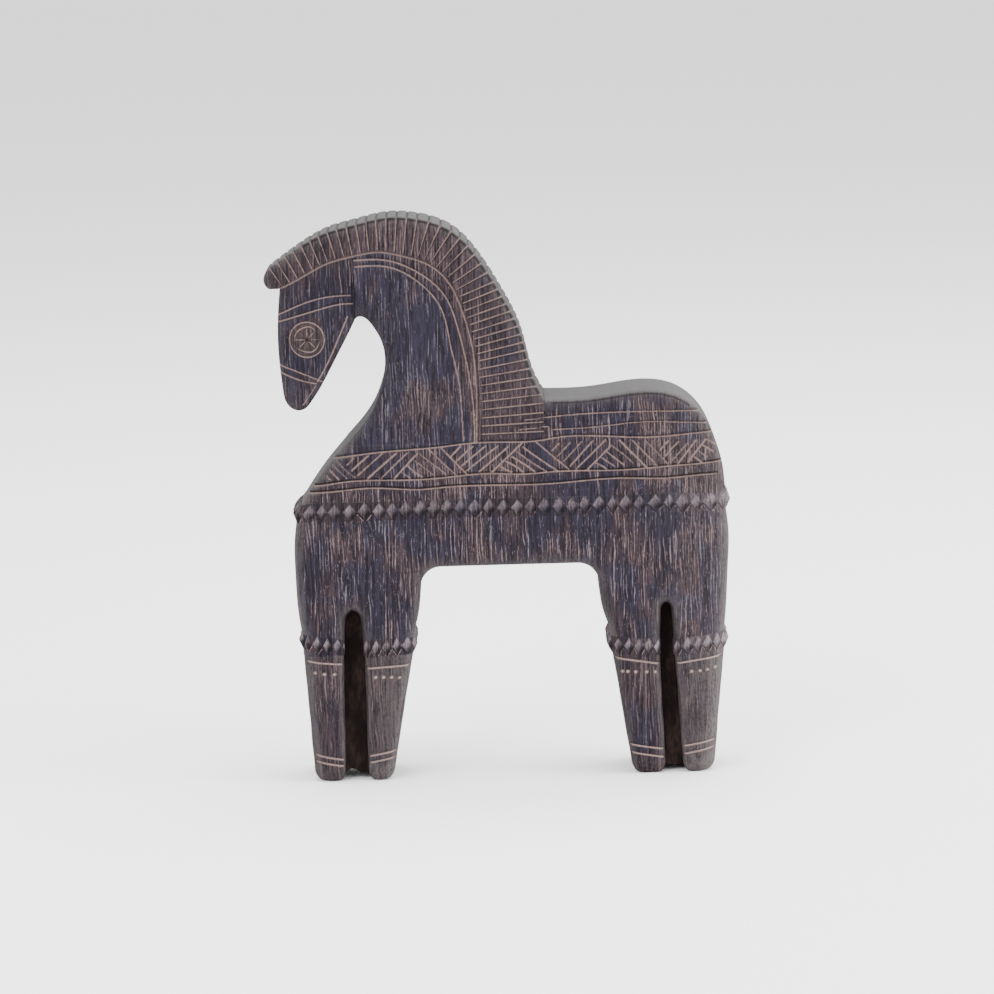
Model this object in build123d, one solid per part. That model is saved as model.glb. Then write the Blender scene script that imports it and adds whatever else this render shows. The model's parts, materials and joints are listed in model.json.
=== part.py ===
from build123d import *
import os

# A standing clay horse, flat as a board from side to side, with a bent head, a high arched mane and
# four short legs. It is hand built from separate clay pieces that are keyed together with stub tenons
# and luted, and beaded ropes of clay are laid over the body and over each knee.
#
# Frame: the horse faces -X, its near side is -Y, up is +Z. The origin is on the floor, in the middle
# of the whole length and width. Lengths are in millimetres.

# Heights, each one stacked on the one before it
shank_height = 87.0
quarter_height = 104.0
belly_rise = 59.0
back_rise = 38.0
croup_rise = 32.0
neck_rise = 151.0

# Lengths along the body
body_length = 287.0
fore_quarter_length = 96.5
hind_quarter_length = 99.5
withers_setback = 167.5
neck_reach = 186.0
chest_setback = 5.0

# Widths from the near side to the far side
body_width = 66.0
foot_width = 56.0
crest_width = 48.0
cheek_width = 51.0
nose_width = 35.0
web_width = 36.0

# Legs: widths of the two shanks of each pair and of the slot between them, at the knee and at the foot
fore_front_knee_length = 27.5
fore_front_foot_length = 21.5
fore_rear_knee_length = 33.0
fore_rear_foot_length = 17.0
fore_slot_knee_length = 13.5
fore_slot_foot_length = 14.5
fore_slot_lean = -0.5
hind_front_knee_length = 32.5
hind_front_foot_length = 22.5
hind_rear_knee_length = 34.5
hind_rear_foot_length = 21.5
hind_slot_knee_length = 9.5
hind_slot_foot_length = 11.0
hind_slot_lean = 3.75
slot_rise = 28.0
web_lift = 2.0

# Rounded edges
arch_radius = 13.0
arch_run = 3.0
seat_bend_radius = 25.0
leg_outer_radius = 10.0
leg_inner_radius = 6.0
slot_corner_radius = 4.0
foot_outer_radius = 7.5
foot_inner_radius = 5.0
hoof_radius = 4.0
back_edge_radius = 8.0
neck_edge_radius = 8.0
head_edge_share = 0.02
crest_edge_radius = 2.5

# Beaded ropes
girth_band_height = 10.0
girth_bead_pitch = 9.3
girth_bead_proud = 2.4
knee_band_height = 9.0
knee_bead_pitch = 6.4
knee_bead_proud = 1.8
band_thickness = 1.0
bead_fill_share = 0.94
bead_sink_share = 0.5
bead_plain_share = 0.5

# Eyes
eye_radius = 12.0
eye_iris_radius = 8.4
eye_thickness = 3.0
eye_proud = 1.0
eye_groove_width = 1.5
eye_groove_depth = 0.7
eye_ray_count = 8
eye_ray_width = 1.3
eye_hub_radius = 1.8

# Notches that mark off the locks of the mane along its crest
mane_lock_count = 38
mane_notch_width = 2.4
mane_notch_depth = 1.3

# Fits between the pieces
tenon_clearance = 0.3
luting_gap = 0.2
band_clearance = 0.15
tenon_depth = 12.0
overrun = 20.0

# Stub tenons: length along the joint and width across it
neck_tenon_length = 60.0
neck_tenon_width = 30.0
back_tenon_length = 44.0
back_tenon_width = 30.0
belly_tenon_height = 20.0
belly_tenon_width = 30.0
head_tenon_height = 22.0
head_tenon_width = 20.0
shank_tenon_length = 13.0
shank_tenon_width = 26.0

# Places worked out from the sizes above
knee_height = shank_height
girth_height = knee_height + quarter_height
belly_height = knee_height + belly_rise
withers_height = girth_height + back_rise
croup_height = withers_height + croup_rise
crest_height = withers_height + neck_rise
front_x = -body_length / 2
rear_x = body_length / 2
fore_joint_x = front_x + fore_quarter_length
hind_joint_x = rear_x - hind_quarter_length
riser_x = front_x + withers_setback
nose_x = riser_x - neck_reach

# Outline of the arched neck, the mane and the head. The first number of each pair is a share of
# neck_reach measured forward from the rear foot of the mane, the second a share of neck_rise
# measured up from the withers.
throat_shares = [
    (-0.715, 0.0), (-0.661, 0.073), (-0.618, 0.146), (-0.581, 0.252),
    (-0.565, 0.384), (-0.583, 0.475), (-0.629, 0.543), (-0.672, 0.562),
]
mane_border_shares = [
    (-0.935, 0.676), (-0.860, 0.738), (-0.753, 0.805), (-0.672, 0.831), (-0.581, 0.848), (-0.484, 0.826),
    (-0.399, 0.787), (-0.331, 0.711), (-0.285, 0.588), (-0.250, 0.421), (-0.240, 0.235), (-0.244, 0.0),
]
crest_shares = [
    (0.0, 0.182), (-0.027, 0.245), (-0.075, 0.464), (-0.140, 0.642), (-0.210, 0.788),
    (-0.317, 0.934), (-0.452, 0.993), (-0.575, 1.0), (-0.753, 0.954), (-0.855, 0.881),
    (-0.973, 0.781),
]
head_joint_index = 3
forelock_shares = [
    (-0.973, 0.781), (-0.999, 0.725), (-0.985, 0.690), (-0.960, 0.678), (-0.935, 0.676),
]
face_and_jaw_shares = [
    (-0.935, 0.676), (-0.941, 0.609), (-0.949, 0.470), (-0.947, 0.338), (-0.940, 0.215), (-0.922, 0.158),
    (-0.892, 0.139), (-0.860, 0.157), (-0.828, 0.202), (-0.763, 0.338), (-0.704, 0.490), (-0.672, 0.562),
]
eye_place_shares = (-0.841, 0.467)

# Outline of the back: the first number is a share of the length from the riser to the rump, the
# second a share of the height from the girth to the top of the croup.
back_shares = [
    (0.0, 0.936), (0.26, 0.943), (0.545, 1.0), (0.737, 0.943), (0.870, 0.757), (0.946, 0.50),
    (0.983, 0.25), (0.995, 0.0),
]

# Middle of the chest line, as shares of its length and of its height from the girth up to the neck
chest_bow_share = (0.42, 0.47)

# Outer edges of the two quarters: the first number is a share of the quarter's length outward from
# the line where the girth rope sits, the second a share of the quarter's height up from the knee.
fore_edge_shares = [(-0.016, 0.11), (0.008, 0.26), (0.026, 0.53), (0.022, 0.75), (0.0, 0.885)]
hind_edge_shares = [(-0.025, 0.11), (-0.010, 0.26), (0.006, 0.51), (0.015, 0.74), (0.0, 0.885)]


def neck_point(share):
    """Point of the neck drawing, from its share of the reach and of the rise."""
    return (riser_x + share[0] * neck_reach, withers_height + share[1] * neck_rise)


head_joint_x = neck_point(throat_shares[-1])[0]

# The rounding has to fit inside the tip of the nose, whose own bend gets tighter as the head gets
# shorter or higher
head_edge_radius = head_edge_share * neck_reach**2 / neck_rise


def side_face(*edges):
    """Face in the X-Z plane bounded by edges drawn with X and Z as their two coordinates."""
    return Plane.XZ * make_face(edges)


def slab(face, width):
    """Solid that carries a side outline across the full width of the horse."""
    return extrude(face, amount=width / 2, both=True)


def front_wedge(levels):
    """Block as seen from the front, whose width changes between the heights in levels."""
    right = [(width / 2, height) for height, width in levels]
    left = [(-width / 2, height) for height, width in reversed(levels)]
    outline = Plane.YZ * make_face(Polyline(*right, *left, close=True))
    return extrude(outline, amount=body_length, both=True)


def plan_wedge(stations):
    """Block as seen from above, whose width changes between the stations along the horse."""
    near = [(place, -width / 2) for place, width in stations]
    far = [(place, width / 2) for place, width in reversed(stations)]
    outline = make_face(Polyline(*near, *far, close=True))
    return extrude(outline, amount=crest_height + overrun)


def block(x_range, y_range, z_range):
    """Plain block between two places along each axis."""
    sizes = [high - low for low, high in (x_range, y_range, z_range)]
    centre = [(high + low) / 2 for low, high in (x_range, y_range, z_range)]
    return Pos(*centre) * Box(*sizes)


def tenon(centre, axis, length, width, gap=0.0):
    """Stub tenon, or with a gap the socket that it fits: it reaches tenon_depth along the axis.

    The length runs along the joint in the side view, the width from the near side to the far side.
    """
    x, z = centre
    reach = tenon_depth + gap
    half = length / 2 + gap
    across = (-width / 2 - gap, width / 2 + gap)
    if axis == "down":
        return block((x - half, x + half), across, (z - reach, z))
    if axis == "up":
        return block((x - half, x + half), across, (z, z + reach))
    if axis == "back":
        return block((x, x + reach), across, (z - half, z + half))
    return block((x - reach, x), across, (z - half, z + half))


def side_edges(solid, wanted):
    """Edges on the two sides of a solid, away from its joints, that pass the test wanted(middle)."""
    found = ShapeList()
    for edge in solid.edges():
        along_side = abs((edge % 0.5).Y) < 0.5 and abs((edge @ 0.5).Y) > luting_gap
        if along_side and wanted(edge @ 0.5):
            found.append(edge)
    return found


def edges_on(solid, *curves):
    """Edges on the two sides of a solid that lie on one of the curves of its side drawing."""

    def lies_on_a_curve(middle):
        place = Vector(middle.X, middle.Z)
        return any(curve.distance_to(place) < luting_gap / 2 for curve in curves)

    return side_edges(solid, lies_on_a_curve)


def make_bead(width, height, proud):
    """Four-sided bead that comes to a point, standing on the X-Y plane, its height along Y."""
    corners = [(width / 2, 0), (0, height / 2), (-width / 2, 0), (0, -height / 2)]
    base = make_face(Polyline(*corners, close=True))
    return loft([base, Vertex(0, 0, proud)], ruled=True)


def beaded_band(section, bottom, height, pitch, proud, plain_side=None):
    """Flat rope of clay round a section of the body, with a row of beads pressed up along it.

    plain_side is the direction in which the rope stays without beads, because it runs into a slot.
    """
    inner = offset(section, amount=band_clearance)
    outer = offset(section, amount=band_clearance + band_thickness)
    band = Pos(0, 0, bottom) * extrude(outer - inner, amount=height)
    path = outer.face().outer_wire()
    middle = section.center()
    count = round(path.length / pitch)
    spacing = path.length / count
    sink = band_thickness * bead_sink_share
    bead = make_bead(spacing * bead_fill_share, height * bead_fill_share, proud + sink)
    beads = []
    for index in range(count):
        place = path @ (index / count)
        along = path % (index / count)
        outward = Vector(along.Y, -along.X, 0)
        if outward.dot(place - middle) < 0:
            outward = -outward
        if plain_side is not None and outward.dot(plain_side) > bead_plain_share:
            continue
        spot = place - outward * sink + Vector(0, 0, bottom + height / 2)
        seat = Plane(origin=spot, x_dir=Vector(0, 0, 1).cross(outward), z_dir=outward)
        beads.append(seat.location * bead)
    return band.fuse(*beads)


def rounded_section(x_range, width, radii):
    """Horizontal section of a leg, with one corner radius at its -X end and one at its +X end."""
    low, high = x_range
    flat = Pos((low + high) / 2, 0) * Rectangle(high - low, width)
    corners = flat.vertices().sort_by(Axis.X)
    flat = fillet(corners[:2], radius=radii[0])
    corners = [corner for corner in flat.vertices() if abs(corner.X - high) < luting_gap]
    return fillet(corners, radius=radii[1])


class LegPair:
    """The two legs at one end of the horse: where each shank starts and ends at the knee and foot."""

    def __init__(self, start_x, knee_lengths, foot_lengths, lean):
        front, slot, rear = knee_lengths
        self.knee = (start_x, start_x + front, start_x + front + slot, start_x + front + slot + rear)
        self.slot_middle = (self.knee[1] + self.knee[2]) / 2
        self.slot_length = slot
        foot_front, foot_slot, foot_rear = foot_lengths
        middle = self.slot_middle + lean
        self.foot = (
            middle - foot_slot / 2 - foot_front,
            middle - foot_slot / 2,
            middle + foot_slot / 2,
            middle + foot_slot / 2 + foot_rear,
        )


def shank_tenon(legs, index, gap=0.0):
    """Tenon on top of one shank, index 0 for the front one of the pair and 1 for the rear one."""
    middle = (legs.knee[2 * index] + legs.knee[2 * index + 1]) / 2
    return tenon((middle, knee_height), "up", shank_tenon_length, shank_tenon_width, gap)


def back_tenon(ends, gap=0.0):
    """Tenon under the back, into the top of the quarter that lies between the two ends."""
    return tenon((sum(ends) / 2, girth_height), "down", back_tenon_length, back_tenon_width, gap)


def belly_tenon(joint_x, axis, gap=0.0):
    """Tenon on one end of the belly, into the side of the quarter that it meets."""
    level = (belly_height + girth_height) / 2
    return tenon((joint_x, level), axis, belly_tenon_height, belly_tenon_width, gap)


def neck_tenon(gap=0.0):
    """Tenon under the neck, into the top of the back."""
    foot_share = (throat_shares[0][0] + mane_border_shares[-1][0]) / 2
    return tenon(neck_point((foot_share, 0.0)), "down", neck_tenon_length, neck_tenon_width, gap)


def head_tenon(gap=0.0):
    """Tenon on the rear face of the head, into the neck."""
    level_share = (throat_shares[-1][1] + mane_border_shares[head_joint_index][1]) / 2
    place = neck_point((throat_shares[-1][0], level_share))
    return tenon(place, "back", head_tenon_height, head_tenon_width, gap)


def head_width(x):
    """Full width of the head at a place along X: it narrows evenly from the cheeks to the nose."""
    slope = (cheek_width - nose_width) / (head_joint_x - nose_x)
    return cheek_width + slope * (x - head_joint_x)


def slot_cut(legs):
    """The two slots in a quarter, one in each side, that part the legs of a pair."""
    half = legs.slot_length / 2
    low, high = legs.slot_middle - half, legs.slot_middle + half
    top = knee_height + slot_rise - half
    outline = side_face(
        Line((low, 0), (high, 0)),
        Line((high, 0), (high, top)),
        ThreePointArc((high, top), (legs.slot_middle, top + half), (low, top)),
        Line((low, top), (low, 0)),
    )
    kept = block((low - overrun, high + overrun), (-web_width / 2, web_width / 2), (0, girth_height))
    return slab(outline, body_width + overrun) - kept


def make_quarter(legs, seat_x, joint_x, edge_shares, length):
    """Upper half of a pair of legs with its share of the trunk, from the knee up to the girth.

    The outer edge is upright where the two ropes sit and swells gently between them. On the inner
    side the leg runs up into the belly through a round arch.
    """
    outward = 1 if seat_x > joint_x else -1
    knee_inner = legs.knee[0] if outward > 0 else legs.knee[3]
    arch_x = joint_x + outward * (arch_run + arch_radius)
    edge = [(seat_x + outward * share * length, knee_height + up * quarter_height) for share, up in edge_shares]
    knee_outer = edge[0][0]
    seat_top = knee_height + knee_band_height + band_clearance
    outline = side_face(
        Line((knee_outer, knee_height), edge[0]),
        Spline(*edge, tangents=[(0, 1), (0, 1)]),
        Line(edge[-1], (seat_x, girth_height)),
        Line((seat_x, girth_height), (joint_x, girth_height)),
        Line((joint_x, girth_height), (joint_x, belly_height)),
        Line((joint_x, belly_height), (arch_x, belly_height)),
        Line((arch_x, belly_height), (knee_inner, seat_top)),
        Line((knee_inner, seat_top), (knee_inner, knee_height)),
        Line((knee_inner, knee_height), (knee_outer, knee_height)),
    )
    arch_corner = outline.vertices().sort_by_distance(Vector(arch_x, 0, belly_height))[0]
    outline = fillet(arch_corner, radius=arch_radius)
    seat_corner = outline.vertices().sort_by_distance(Vector(knee_inner, 0, seat_top))[0]
    outline = fillet(seat_corner, radius=seat_bend_radius)
    body = slab(outline, body_width)

    def on_outer_line(middle):
        return outward * (middle.X - knee_outer) > -leg_outer_radius

    def on_inner_line(middle):
        reach = outward * (middle.X - joint_x)
        return luting_gap < reach < outward * (knee_inner - joint_x) + luting_gap and middle.Z < girth_height

    body = fillet(side_edges(body, on_outer_line), radius=leg_outer_radius)
    body = fillet(side_edges(body, on_inner_line), radius=leg_inner_radius)
    body -= slot_cut(legs)

    def on_slot_mouth(middle):
        on_face = abs(middle.Y) > body_width / 2 - luting_gap
        in_slot = legs.knee[1] - luting_gap < middle.X < legs.knee[2] + luting_gap
        return on_face and in_slot and middle.Z < belly_height

    return fillet(side_edges(body, on_slot_mouth), radius=slot_corner_radius)


def make_shank(legs, index, knee_radii, foot_radii):
    """Lower leg with its hoof: a tapering post of rounded section, rounded under at the hoof."""
    knee = Pos(0, 0, knee_height) * rounded_section(legs.knee[2 * index:2 * index + 2], body_width, knee_radii)
    foot = rounded_section(legs.foot[2 * index:2 * index + 2], foot_width, foot_radii)
    post = loft([foot, knee], ruled=True)
    sole = post.faces().sort_by(Axis.Z)[0]
    post = fillet(sole.edges(), radius=hoof_radius)
    return post + shank_tenon(legs, index)


def make_web(legs):
    """Thin wall between the two shanks of a pair, set back from both sides, just clear of the floor."""
    rise = web_lift / knee_height
    low_left = legs.foot[1] + (legs.knee[1] - legs.foot[1]) * rise
    low_right = legs.foot[2] + (legs.knee[2] - legs.foot[2]) * rise
    outline = make_face(Polyline(
        (low_left, web_lift), (low_right, web_lift), (legs.knee[2], knee_height), (legs.knee[1], knee_height),
        close=True,
    ))
    return slab(Plane.XZ * outline, web_width)


def make_knee_band(legs, index, radii):
    """Beaded rope round one leg, open where the wall between the two legs stands in its way."""
    section = rounded_section(legs.knee[2 * index:2 * index + 2], body_width, radii)
    towards_slot = Vector(1 - 2 * index, 0, 0)
    band = beaded_band(
        section, knee_height, knee_band_height, knee_bead_pitch, knee_bead_proud, towards_slot
    )
    wall = block(
        (legs.knee[1] - luting_gap, legs.knee[2] + luting_gap),
        (-web_width / 2 - band_clearance, web_width / 2 + band_clearance),
        (0, girth_height),
    )
    return band - wall


def make_girth_band():
    """Beaded rope all round the trunk, over the joint between the quarters and the back."""
    radii = (leg_outer_radius, leg_outer_radius)
    section = rounded_section((front_x, rear_x), body_width, radii)
    return beaded_band(
        section, girth_height - girth_band_height, girth_band_height, girth_bead_pitch, girth_bead_proud
    )


def make_belly():
    """Middle of the trunk between the two quarters, with a tenon at each end."""
    body = block(
        (fore_joint_x, hind_joint_x), (-body_width / 2, body_width / 2), (belly_height, girth_height)
    )

    def on_lower_edge(middle):
        return middle.Z < belly_height + luting_gap and fore_joint_x + luting_gap < middle.X < hind_joint_x - luting_gap

    body = fillet(side_edges(body, on_lower_edge), radius=leg_inner_radius)
    return body + belly_tenon(fore_joint_x, "forward") + belly_tenon(hind_joint_x, "back")


def make_back():
    """Upper trunk: sloping chest, flat seat for the neck and mane, rounded croup and rump."""
    chest_foot = (front_x + chest_setback, girth_height)
    chest_top = neck_point(throat_shares[0])
    bow = tuple(low + share * (high - low) for low, high, share in zip(chest_foot, chest_top, chest_bow_share))
    rise = croup_height - girth_height
    top = [
        (riser_x + along * (rear_x - riser_x), girth_height + up * rise) for along, up in back_shares
    ]
    chest_line, croup_line = Spline(chest_foot, bow, chest_top), Spline(*top)
    outline = side_face(
        chest_line,
        Line(chest_top, (riser_x, withers_height)),
        Line((riser_x, withers_height), top[0]),
        croup_line,
        Line(top[-1], chest_foot),
    )
    body = slab(outline, body_width)
    body = fillet(edges_on(body, chest_line, croup_line), radius=back_edge_radius)
    body += back_tenon((front_x, fore_joint_x)) + back_tenon((hind_joint_x, rear_x))
    return body - neck_tenon(tenon_clearance)


def inner_border():
    """Curve just inside the mane, split where the head meets the neck: the head's part, the neck's part."""
    border = [Vector(*neck_point(share)) for share in mane_border_shares]
    inset = []
    for index, place in enumerate(border):
        before, after = border[max(index - 1, 0)], border[min(index + 1, len(border) - 1)]
        along = (after - before).normalized()
        inset.append(place + Vector(along.Y, -along.X) * luting_gap)
    curve = Spline(*inset)
    joint = curve.param_at_point(inset[head_joint_index])
    return curve.trim(0, joint), curve.trim(joint, 1)


def throat_line():
    """Front edge of the neck, from the chest up to the throat."""
    return Spline(*[neck_point(share) for share in throat_shares])


def face_line():
    """Front edge of the head: from the brow down over the face and muzzle and up along the jaw."""
    brow = inner_border()[0] @ 0
    return Spline((brow.X, brow.Y), *[neck_point(share) for share in face_and_jaw_shares[1:]])


def crest_lines():
    """Outer edge of the mane: the crest and the rounded end of the forelock."""
    crest = [neck_point(share) for share in crest_shares]
    forelock = [neck_point(share) for share in forelock_shares]
    return Spline(*crest), Spline(*forelock)


def neck_outline():
    """Side outline of the neck, from the withers up to the head and the mane."""
    throat, border = throat_line(), inner_border()[1]
    foot = border @ 1
    seat = (foot.X, withers_height)
    return side_face(
        throat, Line(throat @ 1, border @ 0), border, Line(foot, seat), Line(seat, throat @ 0)
    )


def head_outline():
    """Side outline of the head, which hangs from its joint with the neck."""
    border, face = inner_border()[0], face_line()
    return side_face(border, Line(border @ 1, face @ 1), face)


def mane_outline():
    """Side outline of the mane: a crescent over the neck and head that ends in the forelock."""
    crest, forelock = crest_lines()
    border = Spline(*[neck_point(share) for share in mane_border_shares])
    foot = (riser_x, withers_height)
    return side_face(crest, forelock, border, Line(border @ 1, foot), Line(foot, crest @ 0))


def upper_wedge():
    """Front view of the neck and mane: they narrow evenly from the withers to the crest."""
    slope = (body_width - crest_width) / neck_rise
    top_width = crest_width - slope * overrun
    return front_wedge([(0, body_width), (withers_height, body_width), (crest_height + overrun, top_width)])


def cheek_wedge():
    """View from above of the head and mane: they narrow evenly from the withers to the nose."""
    stations = (nose_x - overrun, riser_x + overrun)
    return plan_wedge([(place, head_width(place)) for place in stations])


def make_neck():
    """Arched neck that narrows upwards, with a tenon below and a socket for the head."""
    body = slab(neck_outline(), body_width) & upper_wedge()
    body = fillet(edges_on(body, throat_line()), radius=neck_edge_radius)
    return body + neck_tenon() - head_tenon(tenon_clearance)


def eye_seat(side):
    """Plane on the near (-1) or far (1) cheek, at the middle of the eye, facing outwards."""
    x, z = neck_point(eye_place_shares)
    slope = (cheek_width - nose_width) / (head_joint_x - nose_x) / 2
    outward = Vector(-slope, side, 0).normalized()
    return Plane(origin=(x, side * head_width(x) / 2, z), x_dir=(0, 0, 1), z_dir=outward)


def make_head():
    """Long head that narrows to the nose, with a tenon for the neck and a round seat for each eye."""
    body = slab(head_outline(), body_width) & cheek_wedge()

    body = fillet(edges_on(body, face_line()), radius=head_edge_radius)
    body += head_tenon()
    depth = eye_thickness - eye_proud + band_clearance
    for side in (-1, 1):
        socket = extrude(Circle(eye_radius + band_clearance), amount=depth + overrun, both=False)
        body -= eye_seat(side).location * (Pos(0, 0, -depth) * socket)
    return body


def make_eye(side):
    """Round applied eye with a ring round the iris and a star of rays pressed into it."""
    disc = extrude(Circle(eye_radius), amount=eye_thickness)
    ring = Circle(eye_iris_radius + eye_groove_width) - Circle(eye_iris_radius)
    ray_length = eye_iris_radius - eye_groove_width - eye_hub_radius
    ray = Pos(eye_hub_radius + ray_length / 2, 0) * Rectangle(ray_length, eye_ray_width)
    rays = [Rot(0, 0, turn * 360 / eye_ray_count) * ray for turn in range(eye_ray_count)]
    pressed = Sketch() + [ring, *rays]
    disc -= Pos(0, 0, eye_thickness - eye_groove_depth) * extrude(pressed, amount=eye_thickness)
    return eye_seat(side).location * (Pos(0, 0, eye_proud - eye_thickness) * disc)


def lock_notches(crest):
    """V-shaped cuts across the crest, evenly spaced, that mark off the locks of the mane."""
    cuts = []
    for index in range(1, mane_lock_count):
        share = index / mane_lock_count
        place, along = crest @ share, crest % share
        outward = Vector(along.Y, -along.X)
        lip = place + outward * mane_notch_depth
        corners = (
            place - outward * mane_notch_depth,
            lip + along * mane_notch_width,
            lip - along * mane_notch_width,
        )
        outline = side_face(Polyline(*[(corner.X, corner.Y) for corner in corners], close=True))
        cuts.append(slab(outline, body_width))
    return cuts


def make_mane():
    """High mane that crowns the neck and overhangs the brow in a short forelock."""
    crest, forelock = crest_lines()
    body = slab(mane_outline(), body_width) & upper_wedge() & cheek_wedge()
    body = fillet(edges_on(body, crest, forelock), radius=crest_edge_radius)
    return body - lock_notches(crest)


fore_legs = LegPair(
    front_x - fore_edge_shares[0][0] * fore_quarter_length,
    (fore_front_knee_length, fore_slot_knee_length, fore_rear_knee_length),
    (fore_front_foot_length, fore_slot_foot_length, fore_rear_foot_length),
    fore_slot_lean,
)
hind_knee_length = hind_front_knee_length + hind_slot_knee_length + hind_rear_knee_length
hind_legs = LegPair(
    rear_x + hind_edge_shares[0][0] * hind_quarter_length - hind_knee_length,
    (hind_front_knee_length, hind_slot_knee_length, hind_rear_knee_length),
    (hind_front_foot_length, hind_slot_foot_length, hind_rear_foot_length),
    hind_slot_lean,
)

fore_quarter = make_quarter(fore_legs, front_x, fore_joint_x, fore_edge_shares, fore_quarter_length)
fore_quarter -= back_tenon((front_x, fore_joint_x), tenon_clearance)
fore_quarter -= belly_tenon(fore_joint_x, "forward", tenon_clearance)
hind_quarter = make_quarter(hind_legs, rear_x, hind_joint_x, hind_edge_shares, hind_quarter_length)
hind_quarter -= back_tenon((hind_joint_x, rear_x), tenon_clearance)
hind_quarter -= belly_tenon(hind_joint_x, "back", tenon_clearance)
for index in (0, 1):
    fore_quarter -= shank_tenon(fore_legs, index, tenon_clearance)
    hind_quarter -= shank_tenon(hind_legs, index, tenon_clearance)

pieces = {
    "fore_quarter": fore_quarter,
    "hind_quarter": hind_quarter,
    "belly": make_belly(),
    "back": make_back(),
    "neck": make_neck(),
    "head": make_head(),
    "mane": make_mane(),
    "near_eye": make_eye(-1),
    "far_eye": make_eye(1),
    "girth_rope": make_girth_band(),
    "fore_web": make_web(fore_legs),
    "hind_web": make_web(hind_legs),
}

# Corner radii of the legs, at the -X end and the +X end of each one, at the knee and at the foot
leg_corner_radii = {
    "foreleg_front": ((leg_outer_radius, slot_corner_radius), (foot_outer_radius, slot_corner_radius)),
    "foreleg_rear": ((slot_corner_radius, leg_inner_radius), (slot_corner_radius, foot_inner_radius)),
    "hindleg_front": ((leg_inner_radius, slot_corner_radius), (foot_inner_radius, slot_corner_radius)),
    "hindleg_rear": ((slot_corner_radius, leg_outer_radius), (slot_corner_radius, foot_outer_radius)),
}
for name, (knee_radii, foot_radii) in leg_corner_radii.items():
    legs = fore_legs if name.startswith("fore") else hind_legs
    index = 0 if name.endswith("front") else 1
    pieces[name + "_shank"] = make_shank(legs, index, knee_radii, foot_radii)
    pieces[name + "_knee_rope"] = make_knee_band(legs, index, knee_radii)

# The drawing is centred on the trunk, so everything moves to centre the whole horse on the origin
whole_box = Compound(list(pieces.values())).bounding_box()
centring = Pos(-(whole_box.min.X + whole_box.max.X) / 2, 0, 0)

os.makedirs("parts", exist_ok=True)
for name, piece in pieces.items():
    export_step(centring * piece, f"parts/{name}.step")
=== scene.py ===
"""Looks of a flat-sided clay horse with an arched mane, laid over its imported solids.

The horse faces -X, its near side is -Y and up is +Z. Sizes are in millimetres on the side drawing, whose
zero along X is the middle of the trunk, and become metres when a mesh is made.
"""

import json
import logging
import math
from dataclasses import dataclass, field
from enum import Enum

import bpy
import numpy as np
from mathutils import Matrix, Vector


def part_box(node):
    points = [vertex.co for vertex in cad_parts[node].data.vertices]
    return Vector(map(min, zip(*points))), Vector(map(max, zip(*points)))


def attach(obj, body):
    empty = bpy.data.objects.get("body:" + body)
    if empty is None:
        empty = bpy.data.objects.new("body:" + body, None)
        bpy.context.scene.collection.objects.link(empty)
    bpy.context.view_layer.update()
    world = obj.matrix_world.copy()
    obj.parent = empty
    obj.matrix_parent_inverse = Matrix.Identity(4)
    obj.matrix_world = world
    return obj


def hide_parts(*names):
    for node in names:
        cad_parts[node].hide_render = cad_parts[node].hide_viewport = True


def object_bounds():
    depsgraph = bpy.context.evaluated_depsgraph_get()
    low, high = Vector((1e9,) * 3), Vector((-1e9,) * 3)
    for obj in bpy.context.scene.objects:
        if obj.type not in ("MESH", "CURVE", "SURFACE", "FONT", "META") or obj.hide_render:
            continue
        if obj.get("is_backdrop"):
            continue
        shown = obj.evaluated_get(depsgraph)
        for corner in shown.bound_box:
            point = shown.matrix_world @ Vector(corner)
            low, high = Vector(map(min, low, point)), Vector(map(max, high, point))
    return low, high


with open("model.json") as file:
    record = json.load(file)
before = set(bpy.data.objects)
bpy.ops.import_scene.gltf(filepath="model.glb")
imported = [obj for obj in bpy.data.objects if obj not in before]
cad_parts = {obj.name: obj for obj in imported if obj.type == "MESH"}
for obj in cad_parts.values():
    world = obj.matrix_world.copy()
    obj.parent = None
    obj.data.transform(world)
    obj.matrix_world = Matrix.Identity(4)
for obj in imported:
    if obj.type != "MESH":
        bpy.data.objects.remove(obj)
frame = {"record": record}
SOLIDS_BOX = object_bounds()

logging.basicConfig(level=logging.INFO, format="%(message)s")
log = logging.getLogger("clay_horse")

Line = np.ndarray
Grid = np.ndarray

METRES = 0.001
WELD = 0.0137
BATCH = 20000
QUARTER_TURN = math.pi / 2
FULL_TURN = 2 * math.pi
SHARP_CORNER = math.radians(50)


class Slot(Enum):
    """Finishes that the record names for its nodes."""

    COMBED = "combed_clay"
    ROPE = "beaded_rope_clay"
    EYE = "eye_clay"
    HOLLOW = "slot_clay"


# Sums that many pieces need


def unit(values: np.ndarray | float) -> np.ndarray | float:
    """Values held between 0 and 1."""
    return np.clip(values, 0, 1)


def bell(distance: np.ndarray, width: np.ndarray | float) -> np.ndarray:
    """Fall from 1 at the distance 0 towards 0 on both sides: exp(-(distance / width)^2)."""
    return np.exp(-((distance / width) ** 2))


def walk(line: Line) -> np.ndarray:
    """Distance walked along a line up to each of its points."""
    return np.concatenate(([0.0], np.cumsum(np.linalg.norm(np.diff(line, axis=0), axis=1))))


def along(line: Line, shares: np.ndarray) -> Line:
    """Points at shares of the length of a line, found by walking along it.

    Args:
        line: points of the line in order.
        shares: numbers from 0 at its start to 1 at its end.

    Returns:
        One point for each share.
    """
    walked = walk(line)
    return np.stack([np.interp(shares * walked[-1], walked, line[:, axis]) for axis in (0, 1)], axis=1)


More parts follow.
